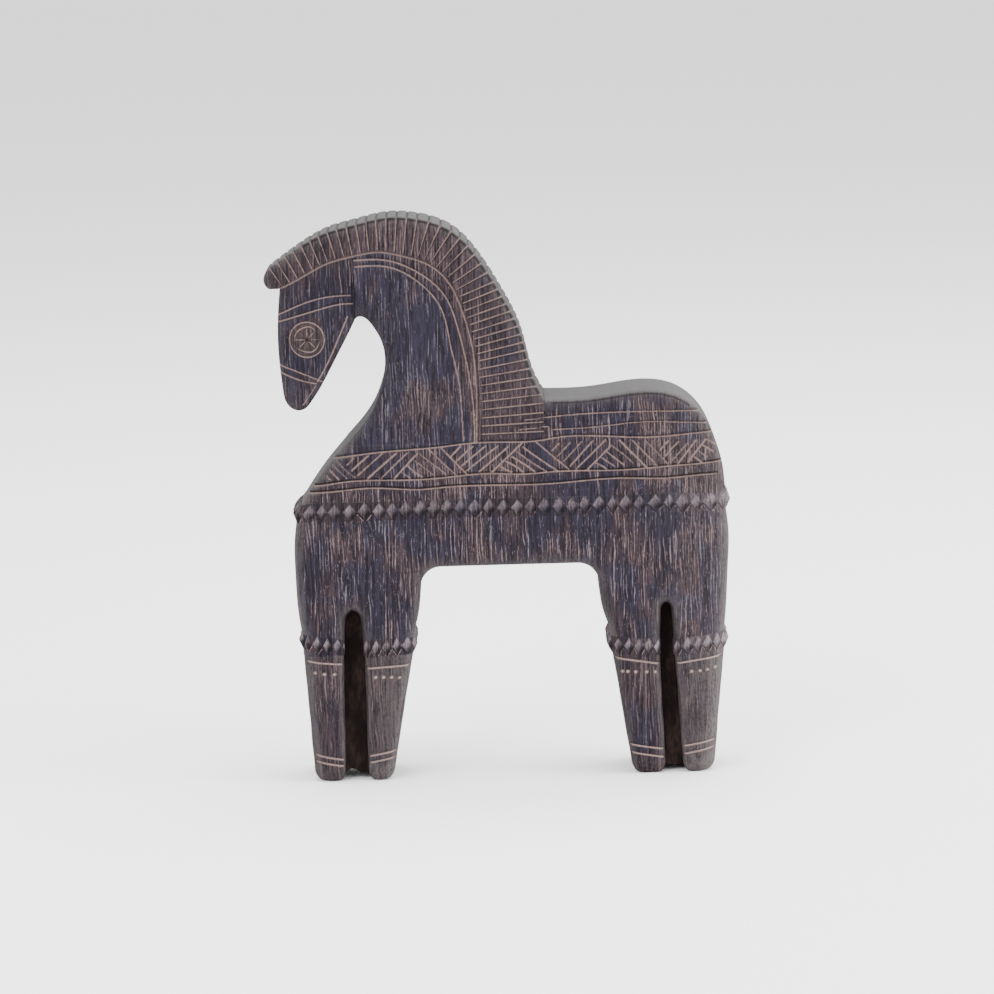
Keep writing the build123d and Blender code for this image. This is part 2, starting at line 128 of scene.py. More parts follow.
def smooth(points: list, count: int = 160) -> Line:
    """Smooth line through points: a natural cubic in the distance walked from point to point.

    Args:
        points: places that the line goes through, at least two.
        count: how many points the line gets, evenly spaced along it.

    Returns:
        The points of the line.
    """
    knots = np.asarray(points, dtype=float)
    walked = walk(knots)
    last = len(knots) - 1
    spans = np.diff(walked)
    slopes = np.diff(knots, axis=0) / spans[:, None]
    system = np.eye(last + 1)
    wanted = np.zeros((last + 1, 2))
    inner = np.arange(1, last)
    system[inner, inner - 1] = spans[:-1]
    system[inner, inner] = 2 * (spans[:-1] + spans[1:])
    system[inner, inner + 1] = spans[1:]
    wanted[1:-1] = 6 * np.diff(slopes, axis=0)
    bend = np.linalg.solve(system, wanted)
    places = np.linspace(0, walked[-1], count * 4)
    part = np.clip(np.searchsorted(walked, places, side="right") - 1, 0, last - 1)
    before = (places - walked[part])[:, None]
    after = (walked[part + 1] - places)[:, None]
    span = spans[part][:, None]
    fine = (bend[part] * after**3 + bend[part + 1] * before**3) / (6 * span)
    fine += (knots[part] / span - bend[part] * span / 6) * after
    fine += (knots[part + 1] / span - bend[part + 1] * span / 6) * before
    return along(fine, np.linspace(0, 1, count))


def straight(start: tuple | np.ndarray, end: tuple | np.ndarray, count: int = 2) -> Line:
    """Straight line from start to end, in even steps."""
    return np.linspace(start, end, count)


def even(low: float, high: float, step: float) -> np.ndarray:
    """Numbers from low to high in even steps that are about as large as step."""
    return np.linspace(low, high, 1 + int((high - low) / step))


def join(*lines: Line) -> Line:
    """Lines one after another as one line, without the double point where two of them meet."""
    kept = [lines[0]] + [line[1:] for line in lines[1:]]
    return np.concatenate(kept)


def outline_at(line: Line, levels: np.ndarray | float) -> np.ndarray | float:
    """Places along X where a rising line crosses the levels."""
    return np.interp(levels, line[:, 1], line[:, 0])


def between_heights(line: Line, low: float, high: float) -> Line:
    """Part of a rising line from one height up to another, with a point at each of the two."""
    heights = np.array([low, high])
    ends = np.stack((outline_at(line, heights), heights), axis=1)
    inside = line[(line[:, 1] > low) & (line[:, 1] < high)]
    return np.concatenate((ends[:1], inside, ends[1:]))


def distance_to(points: np.ndarray, line: Line) -> np.ndarray:
    """Distance from each point to a line: the least of its distances to the line's straight steps."""
    start, step = line[:-1], np.diff(line, axis=0)
    squared = np.maximum((step**2).sum(axis=1), 1e-12)
    nearest = np.empty(len(points))
    for low in range(0, len(points), BATCH):
        offset = points[low:low + BATCH, None, :] - start[None]
        share = unit((offset * step).sum(axis=2) / squared)
        gap = offset - share[..., None] * step
        nearest[low:low + BATCH] = np.sqrt((gap**2).sum(axis=2).min(axis=1))
    return nearest


def swell(x: np.ndarray, z: np.ndarray) -> np.ndarray:
    """Slow unevenness of a hand-smoothed wall, from 0 to 1: a sum of four long waves that cross."""
    waves = np.sin(x * 0.11 + 0.7 + 0.9 * np.sin(z * 0.043))
    waves = waves + np.sin(z * 0.093 + 1.9 + 0.8 * np.sin(x * 0.051))
    waves = waves + 0.6 * np.sin(x * 0.21 - z * 0.17 + 0.4)
    waves = waves + 0.6 * np.sin(x * 0.16 + z * 0.24 + 2.6)
    return unit(0.5 + waves / 6.4)


def shiver(places: np.ndarray, seed: float) -> np.ndarray:
    """Small quick unevenness from -1 to 1 along a row of places: the fraction of a large sine."""
    raw = np.sin(places * 12.9898 + seed * 78.233) * 43758.5453
    return 2 * (raw - np.floor(raw)) - 1


@dataclass
class Edge:
    """An outer edge of the drawing, the radius that its corners are rounded to and how strongly wear and
    painted sheen pale it.
    """

    line: Line
    radius: float
    wear_and_sheen: float = 1.0


@dataclass
class Stroke:
    """A line pressed into the clay: where it lies, how wide and how deep it is, and how it shows.

    Its tone says how pale it is, and its lip how dark a painted shadow along the edge above it is. A dark one
    is painted as the shadow inside a crease.
    """

    line: Line
    width: float = 1.7
    depth: float = 0.7
    dark: bool = False
    tone: float = 1.0
    lip_shadow: float = 0.0


@dataclass
class Skin:
    """What a point of a side skin needs besides its place on the drawing."""

    half: np.ndarray
    groove: np.ndarray
    wear_and_sheen: np.ndarray
    # Painted shadow of dark strokes and of the edges above grooves
    crease: np.ndarray


@dataclass
class SideSizes:
    """Widths and heights that all the side skins share."""

    body_width: float = 66.0
    foot_width: float = 56.0
    crest_width: float = 48.0
    cheek_width: float = 51.0
    nose_width: float = 35.0
    knee_height: float = 87.0
    belly_height: float = 144.9
    girth_height: float = 191.0
    withers_height: float = 229.0
    crest_height: float = 380.0
    nose_x: float = -162.0
    cheek_x: float = -101.0
    unevenness: float = 0.35
    wear_and_sheen_reach: float = 5.0

    def half(self, x: np.ndarray | float, z: np.ndarray | float, cheeks: bool) -> np.ndarray | float:
        """Half the thickness at a place: the legs taper to the foot and the neck to the crest.

        Args:
            x: places along the horse.
            z: heights.
            cheeks: whether the piece also narrows evenly from the cheeks to the nose.

        Returns:
            Distances from the middle plane to the skin.
        """
        neck = unit((z - self.withers_height) / (self.crest_height - self.withers_height))
        width = self.body_width + (self.crest_width - self.body_width) * neck
        leg = unit(z / self.knee_height)
        width = np.minimum(width, self.foot_width + (self.body_width - self.foot_width) * leg)
        if cheeks:
            share = (x - self.nose_x) / (self.cheek_x - self.nose_x)
            width = np.minimum(width, self.nose_width + (self.cheek_width - self.nose_width) * share)
        return width / 2


@dataclass
class SideCraft:
    """Thickness, rounded edges and carving, laid over any part of the side drawing."""

    sizes: SideSizes
    edges: list[Edge] = field(default_factory=list)
    strokes: list[Stroke] = field(default_factory=list)

    def skin(self, points: np.ndarray, cheeks: bool = False) -> Skin:
        """Skin over points: the wall, less a quarter circle near each edge, less the strokes.

        Within the radius r of an edge, at the distance d from it, the wall drops by
        r - sqrt(r^2 - (r - d)^2). A stroke presses in by its depth times exp(-(2 d / width)^2).

        Args:
            points: places on the drawing, one row each.
            cheeks: whether the piece narrows to the nose.

        Returns:
            The half thickness and the shares of groove, edge wear with painted sheen, and painted crease
            shadow at each point.
        """
        x, z = points[:, 0], points[:, 1]
        half = self.sizes.half(x, z, cheeks) - self.sizes.unevenness * swell(x, z)
        drop = np.zeros(len(points))
        wear_and_sheen = np.zeros(len(points))
        for edge in self.edges:
            gap = distance_to(points, edge.line)
            inside = np.clip(edge.radius - gap, 0, edge.radius)
            drop = np.maximum(drop, edge.radius - np.sqrt(edge.radius**2 - inside**2))
            # Edges paled by wear together with painted sheen on their rounding
            wear_and_sheen = np.maximum(wear_and_sheen, edge.wear_and_sheen * bell(gap, self.sizes.wear_and_sheen_reach))
        groove = np.zeros(len(points))
        crease = np.zeros(len(points))
        press = np.zeros(len(points))
        for stroke in self.strokes:
            low = stroke.line.min(axis=0) - 2 * stroke.width
            high = stroke.line.max(axis=0) + 2 * stroke.width
            near = np.flatnonzero(((points > low) & (points < high)).all(axis=1))
            if len(near) == 0:
                continue
            share = bell(2 * distance_to(points[near], stroke.line), stroke.width)
            # A dark stroke paints the shadow inside a crease instead of a pale line
            shown = crease if stroke.dark else groove
            shown[near] = np.maximum(shown[near], share * stroke.tone)
            # Painted shadow along the edge above the groove
            if stroke.lip_shadow:
                above = distance_to(points[near], stroke.line + np.array([0.0, 0.8 * stroke.width]))
                crease[near] = np.maximum(crease[near], stroke.lip_shadow * bell(1.9 * above, stroke.width))
            press[near] = np.maximum(press[near], share * stroke.depth)
        return Skin(half - drop - press, groove, wear_and_sheen, crease)


def spread(length: float, step: float, low: float = 0.0, high: float = 0.0) -> np.ndarray:
    """Shares from 0 to 1 in even steps, closer together inside a rounded end.

    Inside a rounded end the steps are even in the angle of its quarter circle.

    Args:
        length: length that the shares part.
        step: size of an even step.
        low: radius of the rounding at the start, or 0.
        high: radius of the rounding at the end, or 0.

    Returns:
        The shares in rising order.
    """
    turns = max(9, int(1.5 * max(low, high) / step))
    turn = 1 - np.cos(np.linspace(0, QUARTER_TURN, turns))
    inner = np.linspace(low, length - high, max(3, int(round((length - low - high) / step)) + 1))
    places = inner
    if low > 0:
        places = np.concatenate((low * turn[:-1], places))
    if high > 0:
        places = np.concatenate((places, (length - high * turn[:-1])[::-1]))
    return places / length


def coons(bottom: Line, top: Line, left: Line, right: Line, u: np.ndarray, v: np.ndarray) -> Grid:
    """Grid of points inside four lines: each point blends the four lines and takes off the corners.

    Args:
        bottom: line from the lower left corner to the lower right one.
        top: line from the upper left corner to the upper right one.
        left: line from the lower left corner up.
        right: line from the lower right corner up.
        u: shares from left to right.
        v: shares from bottom to top.

    Returns:
        A grid with one row of points for each u.
    """
    lower, upper = along(bottom, u)[:, None], along(top, u)[:, None]
    start, end = along(left, v)[None], along(right, v)[None]
    across, up = u[:, None, None], v[None, :, None]
    corners = (1 - across) * ((1 - up) * bottom[0] + up * top[0])
    corners = corners + across * ((1 - up) * bottom[-1] + up * top[-1])
    return (1 - up) * lower + up * upper + (1 - across) * start + across * end - corners


def weld(points: np.ndarray) -> tuple[np.ndarray, np.ndarray]:
    """Joins points that share a tiny cell of space.

    Args:
        points: places, one row each.

    Returns:
        The number of one old point for each joined one, and the joined point that each old one becomes.
    """
    _, first, number = np.unique(np.round(points / WELD), axis=0, return_index=True, return_inverse=True)
    return first, number.reshape(-1)


def grid_faces(number: np.ndarray) -> np.ndarray:
    """Four-cornered faces between the rows and columns of a grid of point numbers."""
    corners = (number[:-1, :-1], number[1:, :-1], number[1:, 1:], number[:-1, 1:])
    return np.stack(corners, axis=-1).reshape(-1, 4)


def ring_faces(number: np.ndarray, rising: bool) -> np.ndarray:
    """Faces between closed rings of points that run anticlockwise.

    Args:
        number: point numbers, one row for each ring.
        rising: whether each ring lies above the one before it, rather than outside it on one level.

    Returns:
        The faces, outwards where the rings rise and upwards where they widen.
    """
    turned = np.roll(number, -1, axis=1)
    corners = (number[:-1], number[1:], turned[1:], turned[:-1])
    if rising:
        corners = (number[:-1], turned[:-1], turned[1:], number[1:])
    return np.stack(corners, axis=-1).reshape(-1, 4)


def cap_faces(ring: np.ndarray) -> np.ndarray:
    """Faces that close a ring of points by joining each one to its mirror image across the ring."""
    half = len(ring) // 2
    one, other = ring[:half], ring[::-1][:half]
    return np.stack((one[:-1], one[1:], other[1:], other[:-1]), axis=1)


def make_object(name: str, points: np.ndarray, faces: np.ndarray,
                marks: dict[str, np.ndarray]) -> bpy.types.Object:
    """Mesh object in metres, smooth except at its sharp corners, with its marks as attributes.

    Two marks are worked out from the way that each point faces: upward is the height of its normal, and
    ends is the square of the normal's share along the horse.

    Args:
        name: name of the piece.
        points: places in millimetres, one row each.
        faces: four point numbers for each face, outwards by the right-hand rule.
        marks: numbers for each point, by the name of the attribute that holds them.

    Returns:
        The new object, at the origin, in the scene.
    """
    mesh = bpy.data.meshes.new(name)
    mesh.vertices.add(len(points))
    mesh.vertices.foreach_set("co", (points * METRES).astype(np.float32).ravel())
    mesh.loops.add(faces.size)
    mesh.loops.foreach_set("vertex_index", faces.astype(np.int32).ravel())
    mesh.polygons.add(len(faces))
    mesh.polygons.foreach_set("loop_start", np.arange(0, faces.size, 4, dtype=np.int32))
    mesh.update(calc_edges=True)
    mesh.validate()
    normals = np.empty(len(points) * 3, dtype=np.float32)
    mesh.vertices.foreach_get("normal", normals)
    normals = normals.reshape(-1, 3)
    facing = {"upward": unit(normals[:, 2]), "ends": normals[:, 0]**2}
    for mark, values in {"combed": np.ones(len(points)), **marks, **facing}.items():
        layer = mesh.attributes.new(mark, "FLOAT", "POINT")
        layer.data.foreach_set("value", values.astype(np.float32))
    mesh.shade_smooth()
    mesh.set_sharp_from_angle(angle=SHARP_CORNER)
    piece = bpy.data.objects.new(name, mesh)
    bpy.context.scene.collection.objects.link(piece)
    return piece


def box_middle_x(node: str) -> float:
    """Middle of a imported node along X, in millimetres."""
    low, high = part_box(node)
    return (low[0] + high[0]) / 2 / METRES


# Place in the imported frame, along X, of the zero of the side drawing
SHIFT = box_middle_x("girth_rope")


@dataclass(frozen=True)
class Cast:
    """How brown a piece is, and how strongly the comb marked it."""

    brown: float = 0.0
    combed: float = 1.0


@dataclass
class Hull:
    """Closed shell made of a near skin, its mirror image on the far side, and the walls between them."""

    name: str
    craft: SideCraft
    cheeks: bool = False
    wall_rows: int = 22
    cast: Cast = Cast()
    upper_cast: Cast | None = None
    parting: Line | None = None
    parting_blur: float = 1.5
    warm_line: Line | None = None
    warmth: float = 0.24
    warm_reach: float = 9.0
    # Painted shade on the slot walls, deepening inwards, and along the slot lips
    slot_shade_start: float = 4.0
    slot_shade_run: float = 6.0
    slot_lip_shade: float = 0.55
    slot_lip_reach: float = 2.2
    slot_touch: float = 0.6
    crease_shade: float = 0.8
    wall_groove: float = 0.5
    patches: list[tuple[np.ndarray, ...]] = field(default_factory=list)

    def add(self, grid: Grid, push: Grid | None = None, press: Grid | None = None,
            shade: Grid | None = None) -> None:
        """Adds a patch of the near skin.

        Args:
            grid: places on the drawing, in rows and columns.
            push: how far each place moves on the drawing after its skin is worked out.
            press: how far each place is pressed in, also taken as its share of groove.
            shade: how much painted shade each place gets, from 0 to 1.
        """
        rows, columns = grid.shape[:2]
        count = rows * columns
        start = sum(len(patch[0]) for patch in self.patches)
        quads = grid_faces(start + np.arange(count).reshape(rows, columns))
        step_u = grid[1:, :-1] - grid[:-1, :-1]
        step_v = grid[:-1, 1:] - grid[:-1, :-1]
        turning = (step_u[..., 0] * step_v[..., 1] - step_u[..., 1] * step_v[..., 0]).sum()
        if turning < 0:
            quads = quads[:, ::-1]
        push = np.zeros((count, 2)) if push is None else push.reshape(-1, 2)
        press, shade = (np.zeros(count) if part is None else part.ravel() for part in (press, shade))
        self.patches.append((grid.reshape(-1, 2), push, press, shade, quads))

    def build(self, slots: list[Edge] | None = None) -> bpy.types.Object:
        """Welds the patches, mirrors them and closes the shell.

        The wall between the two skins runs straight across from each outer edge of the near skin, so its
        rows lie at -h + 2 h j / n for the row j of n.

        Args:
            slots: edges whose walls lead into a slot, and get painted shade that deepens inwards.

        Returns:
            The finished object.
        """
        *values, faces = (np.concatenate(part) for part in zip(*self.patches))
        first, welded = weld(values[0])
        flat, push, press, shade = (value[first] for value in values)
        faces = welded[faces]
        faces = faces[(np.diff(np.sort(faces, axis=1), axis=1) > 0).all(axis=1)]
        skin = self.craft.skin(flat, self.cheeks)
        half = skin.half - press
        groove = np.maximum(skin.groove, unit(press / max(press.max(), 1e-6)))
        place = flat + push
        count, rows = len(flat), self.wall_rows
        starts, ends = self.rim_steps(faces, count)
        rim = np.unique(starts)
        table = np.zeros((count, rows + 1), dtype=np.int64)
        table[:, 0] = np.arange(count)
        table[:, rows] = count + np.arange(count)
        table[rim, 1:rows] = 2 * count + np.arange(len(rim) * (rows - 1)).reshape(len(rim), rows - 1)
        share = np.arange(1, rows) / rows
        side = (-half[rim, None] + 2 * half[rim, None] * share).ravel()
        wall_place = np.repeat(place[rim], rows - 1, axis=0)
        everything = np.concatenate((
            np.stack((place[:, 0], -half, place[:, 1]), axis=1),
            np.stack((place[:, 0], half, place[:, 1]), axis=1),
            np.stack((wall_place[:, 0], side, wall_place[:, 1]), axis=1),
        ))
        walls = [
            np.stack((table[ends, j], table[starts, j], table[starts, j + 1], table[ends, j + 1]), axis=1)
            for j in range(rows)
        ]
        all_faces = np.concatenate([faces, faces[:, ::-1] + count] + walls)
        # Painted shade: dark creases and shade marks, and round the slots their lips and walls
        painted_shade = self.crease_shade * np.maximum(skin.crease, shade) * unit(1 - groove)
        wall_painted_shade = np.repeat(shade[rim], rows - 1)
        for edge in slots or []:
            inner = self.craft.sizes.body_width / 2 - self.slot_shade_start
            depth = unit((inner - np.abs(side)) / self.slot_shade_run)
            beside = distance_to(flat[rim], edge.line) < self.slot_touch
            wall_painted_shade = np.maximum(wall_painted_shade, np.repeat(beside, rows - 1) * depth)
            lip_shadow = self.slot_lip_shade * bell(distance_to(flat, edge.line), self.slot_lip_reach)
            painted_shade = np.maximum(painted_shade, lip_shadow)
        marks = {
            "groove": np.concatenate((groove, groove, self.wall_groove * np.repeat(groove[rim], rows - 1))),
            "wear_and_sheen": np.concatenate((skin.wear_and_sheen, skin.wear_and_sheen, np.repeat(skin.wear_and_sheen[rim], rows - 1))),
            "painted_shade": np.concatenate((painted_shade, painted_shade, wall_painted_shade)),
            **self.casts(everything),
        }
        everything[:, 0] += SHIFT
        return make_object(self.name, everything, all_faces, marks)

    @staticmethod
    def rim_steps(faces: np.ndarray, count: int) -> tuple[np.ndarray, np.ndarray]:
        """Steps along the outer edges of the skin: those that no second face walks back.

        Args:
            faces: four point numbers for each face.
            count: how many points there are.

        Returns:
            The point that each step starts from and the one that it leads to.
        """
        starts = faces.ravel()
        ends = np.roll(faces, -1, axis=1).ravel()
        lone = ~np.isin(starts.astype(np.int64) * count + ends, ends.astype(np.int64) * count + starts)
        return starts[lone], ends[lone]

    def casts(self, points: np.ndarray) -> dict[str, np.ndarray]:
        """How brown and how combed each point is, by the casts on both sides of the parting.

        Args:
            points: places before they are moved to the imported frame.

        Returns:
            The two marks by name.
        """
        over = np.zeros(len(points))
        if self.parting is not None:
            level = np.interp(points[:, 0], self.parting[:, 0], self.parting[:, 1], right=1000.0)
            over = unit((points[:, 2] - level) / self.parting_blur + 0.5)
        upper = self.upper_cast or self.cast
        warm = np.zeros(len(points))
        if self.warm_line is not None:
            warm = self.warmth * bell(distance_to(points[:, [0, 2]], self.warm_line), self.warm_reach)
        return {
            "brown": self.cast.brown + (upper.brown - self.cast.brown) * over + warm,
            "combed": self.cast.combed + (upper.combed - self.cast.combed) * over,
        }


def levels_band(levels: np.ndarray, low: np.ndarray | float, high: np.ndarray | float,
                shares: np.ndarray) -> Grid:
    """Patch whose rows are level: at each height it runs from low to high along X.

    Args:
        levels: heights of the rows.
        low: where each row starts, or where all of them do.
        high: where each row ends, or where all of them do.
        shares: shares of a row at which it has points.

    Returns:
        A grid with one row of points for each share.
    """
    x = low + shares[:, None] * (high - low) + 0 * levels
    return np.stack((x, levels + 0 * x), axis=-1)


@dataclass
class LegPlan:
    """Plan of the two legs at one end of the horse: where each starts and ends, at knee and foot."""

    knee: tuple[float, float, float, float]
    foot: tuple[float, float, float, float]

    @property
    def slot_half(self) -> float:
        """Half the width of the slot at the knee."""
        return (self.knee[2] - self.knee[1]) / 2

    @property
    def slot_middle(self) -> float:
        """Middle of the slot at the knee."""
        return (self.knee[2] + self.knee[1]) / 2


@dataclass
class Drawing:
    """Side drawing of the horse: its outer lines, and the lines that are pressed into its sides."""

    sizes: SideSizes = field(default_factory=SideSizes)
    front_x: float = -143.5
    rear_x: float = 143.5
    fore_joint_x: float = -47.0
    hind_joint_x: float = 42.5
    riser_x: float = 24.0
    riser_height: float = 256.5
    slot_rise: float = 30.0
    slot_taper: float = 0.36
    slot_reach: float = 20.0
    arch_radius: float = 13.8
    arch_run: float = 1.0
    arch_points: int = 25
    leg_outer_radius: float = 13.0
    leg_inner_radius: float = 8.0
    slot_radius: float = 5.5
    foot_outer_radius: float = 11.5
    foot_inner_radius: float = 6.5
    chest_radius: float = 12.0
    back_radius: float = 4.0
    neck_radius: float = 8.0
    head_radius: float = 4.6
    crest_radius: float = 2.5
    fore: LegPlan = field(
        default_factory=lambda: LegPlan((-142.0, -114.5, -101.0, -68.0), (-137.0, -115.5, -101.0, -84.0))
    )
    hind: LegPlan = field(
        default_factory=lambda: LegPlan((64.5, 97.0, 106.5, 141.0), (77.5, 100.0, 111.0, 132.5))
    )

    def __post_init__(self) -> None:
        """Draws the outer lines."""
        top = self.sizes.girth_height
        knee = self.sizes.knee_height
        self.fore_outer = join(
            straight((-142.0, knee), (-142.0, 98.4)),
            smooth([(-142.0, 98.4), (-144.3, 114.0), (-145.6, 142.0), (-145.3, 165.0), (-143.7, 178.0),
                    (-142.4, 184.5), (-138.8, top)]),
        )
        self.hind_outer = join(
            straight((141.0, knee), (141.0, 98.4)),
            smooth([(141.0, 98.4), (142.5, 114.0), (144.1, 140.0), (145.0, 164.0), (143.5, 179.0)]),
            straight((143.5, 179.0), (143.5, top)),
        )
        self.fore_inner = self.inner_line(self.fore_joint_x, self.fore.knee[3], 1)
        self.hind_inner = self.inner_line(self.hind_joint_x, self.hind.knee[0], -1)
        below = self.sizes.belly_height
        self.underside = straight((self.fore_joint_x, below), (self.hind_joint_x, below))
        self.chest = smooth([(-138.5, top), (-126.1, 208.9), (-109.0, 229.0)])
        self.croup = smooth([
            (self.riser_x, self.riser_height), (55.1, 257.0), (89.1, 261.0), (112.1, 257.0),
            (128.0, 244.0), (137.0, 226.0), (141.5, 208.5), (142.9, top),
        ], 320)
        self.throat = smooth([
            (-109.0, 229.0), (-98.9, 240.0), (-90.9, 251.0), (-84.1, 267.1), (-81.1, 287.0), (-83.6, 298.6),
            (-87.6, 305.9), (-90.8, 310.3), (-93.8, 312.9), (-97.0, 313.8), (-99.6, 312.8), (-101.0, 310.4),
        ], 240)
        self.border = smooth([
            (-149.7, 333.6), (-136.0, 340.4), (-116.1, 350.6), (-101.0, 354.5), (-84.1, 357.0),
            (-66.0, 353.7), (-50.2, 347.8), (-37.6, 336.4), (-29.0, 317.8), (-22.5, 292.6),
            (-20.6, 264.5), (-21.4, 229.0),
        ], 400)
        self.crest = smooth([
            (-157.0, 346.9), (-135.0, 361.8), (-117.4, 370.8), (-98.4, 375.7), (-80.0, 379.6), (-60.1, 378.9),
            (-35.0, 370.0), (-15.1, 348.0), (-2.0, 325.9), (10.1, 299.1), (19.0, 266.0), (24.0, 256.5),
        ], 400)
        self.forelock = smooth([
            (-157.0, 346.9), (-160.3, 340.0), (-158.9, 335.2), (-154.8, 332.6), (-149.7, 333.6),
        ], 80)
        self.face = smooth([
            (-149.7, 333.6), (-151.0, 321.0), (-152.1, 300.0), (-151.3, 280.0), (-149.8, 265.0),
            (-148.0, 257.2), (-144.6, 253.2), (-139.8, 251.5), (-135.4, 252.7), (-131.2, 257.1),
            (-125.0, 266.2), (-117.2, 280.0), (-109.6, 294.0), (-103.4, 305.6), (-101.0, 310.4),
        ], 400)

    def inner_line(self, joint_x: float, knee_x: float, side: int) -> Line:
        """Inner edge of a pair of legs, from the knee up into the arch under the belly.

        Args:
            joint_x: where the quarter meets the belly.
            knee_x: inner edge of the leg at the knee.
            side: 1 where the belly lies towards +X, otherwise -1.

        Returns:
            A line that rises all the way.
        """
        knee = self.sizes.knee_height
        centre = joint_x - side * self.arch_run
        spring = self.sizes.belly_height - self.arch_radius
        start = centre - side * self.arch_radius
        lean = smooth([
            (knee_x, knee), (knee_x + side * 0.4, knee + 10),
            (start - side * 1.9, knee + 27), (start, spring),
        ])
        turn = np.linspace(0, QUARTER_TURN, self.arch_points)[:-1]
        arch = np.stack((centre - side * self.arch_radius * np.cos(turn),
                         spring + self.arch_radius * np.sin(turn)), axis=1)
        joint = straight((joint_x, self.sizes.belly_height), (joint_x, self.sizes.girth_height))
        return np.concatenate((join(lean, arch), joint))

    def narrowed(self, plan: LegPlan, points: np.ndarray) -> np.ndarray:
        """Points near a slot moved towards its middle, more so the higher they lie.

        A point at the distance d from the middle moves by its share of the taper times (1 - (d / reach)^2)^2.

        Args:
            plan: plan of the legs beside the slot.
            points: places on the drawing.

        Returns:
            The moved places.
        """
        beside = points[..., 0] - plan.slot_middle
        rise = unit((points[..., 1] - self.sizes.knee_height) / self.slot_rise)
        near = unit(1 - (beside / self.slot_reach) ** 2) ** 2
        moved = points.copy()
        moved[..., 0] = plan.slot_middle + beside * (1 - self.slot_taper * rise * near)
        return moved

    def slot_line(self, plan: LegPlan) -> Line:
        """Edge of a slot in a quarter, before it is narrowed: up one side, round the top, down the other."""
        knee = self.sizes.knee_height
        half, middle = plan.slot_half, plan.slot_middle
        spring = knee + self.slot_rise - half
        turn = np.linspace(math.pi, 0, 33)
        arch = np.stack((middle + half * np.cos(turn), spring + half * np.sin(turn)), axis=1)
        return join(straight((middle - half, knee), (middle - half, spring)), arch,
                    straight((middle + half, spring), (middle + half, knee)))

    def edges(self) -> list[Edge]:
        """All the rounded outer edges, apart from those of the slots."""
        below = self.sizes.belly_height
        outer, inner = self.leg_outer_radius, self.leg_inner_radius
        return [
            Edge(self.fore_outer, outer, 1.35),
            Edge(self.hind_outer, outer, 1.35),
            Edge(self.fore_inner[self.fore_inner[:, 1] <= below], inner),
            Edge(self.hind_inner[self.hind_inner[:, 1] <= below], inner),
            Edge(self.underside, inner),
            Edge(self.chest, self.chest_radius),
            Edge(self.croup, self.back_radius),
        ]

    def frieze_top(self) -> Line:
        """Upper line of the frieze."""
        return smooth([
            (-123.5, 218.0), (-115.4, 220.2), (-102.7, 222.5), (-66.4, 225.3), (-45.0, 226.7), (-28.0, 228.4),
            (0.0, 228.7), (19.0, 229.0), (32.0, 230.9), (47.3, 231.6), (74.7, 230.1), (96.0, 229.4),
            (114.0, 230.5), (135.0, 232.1),
        ], 240)

    def frieze(self) -> list[Stroke]:
        """Band of slanting lines round the shoulders and rump, with the lines above and below it.

        The band is made of sets of lines that lean one way and then the other. A set is given by both ends of
        its first line, both ends of its last line and how many lines it has. The lines between lie evenly.

        Returns:
            The strokes of the frieze and of the lines along the back, the upper line of the band first.
        """
        lower = smooth([
            (-131.0, 201.5), (-124.4, 202.7), (-109.0, 204.9), (-69.3, 205.0), (-46.0, 205.8), (-14.3, 207.9),
            (8.5, 206.9), (29.2, 208.0), (74.2, 207.8), (106.4, 209.6), (124.5, 210.6), (140.4, 212.3),
        ], 240)
        ground = smooth([
            (-136.0, 196.5), (-130.3, 197.4), (-113.0, 198.9), (-95.4, 200.2), (-77.1, 199.4), (-61.9, 198.4),
            (-46.6, 199.3), (-20.0, 200.1), (23.6, 199.9), (46.5, 201.2), (74.0, 202.4), (106.3, 201.6),
            (120.7, 202.7), (137.3, 203.7),
        ], 240)
        back_line = smooth([(10.5, 243.0), (40.5, 245.6), (87.0, 246.6), (113.0, 246.3), (129.0, 246.2)])
        second_line = smooth([(29.0, 236.2), (60.0, 237.4), (88.0, 239.6), (112.0, 239.0), (131.0, 238.0)])
        hook = join(straight((7.0, 236.6), (26.4, 238.4)), straight((26.4, 238.4), (26.6, 230.8)))
        strokes = [
            Stroke(self.frieze_top(), 1.4, 0.8, lip_shadow=0.8),
            Stroke(lower, 1.4, 0.8, lip_shadow=1.1),
            Stroke(ground, 1.4, 0.8, lip_shadow=1.1),
            Stroke(back_line, 1.3, 0.7, tone=0.92, lip_shadow=0.5),
            Stroke(second_line, 1.2, 0.7, tone=0.92, lip_shadow=0.7),
            Stroke(hook, 1.3, 0.6, tone=0.9),
        ]
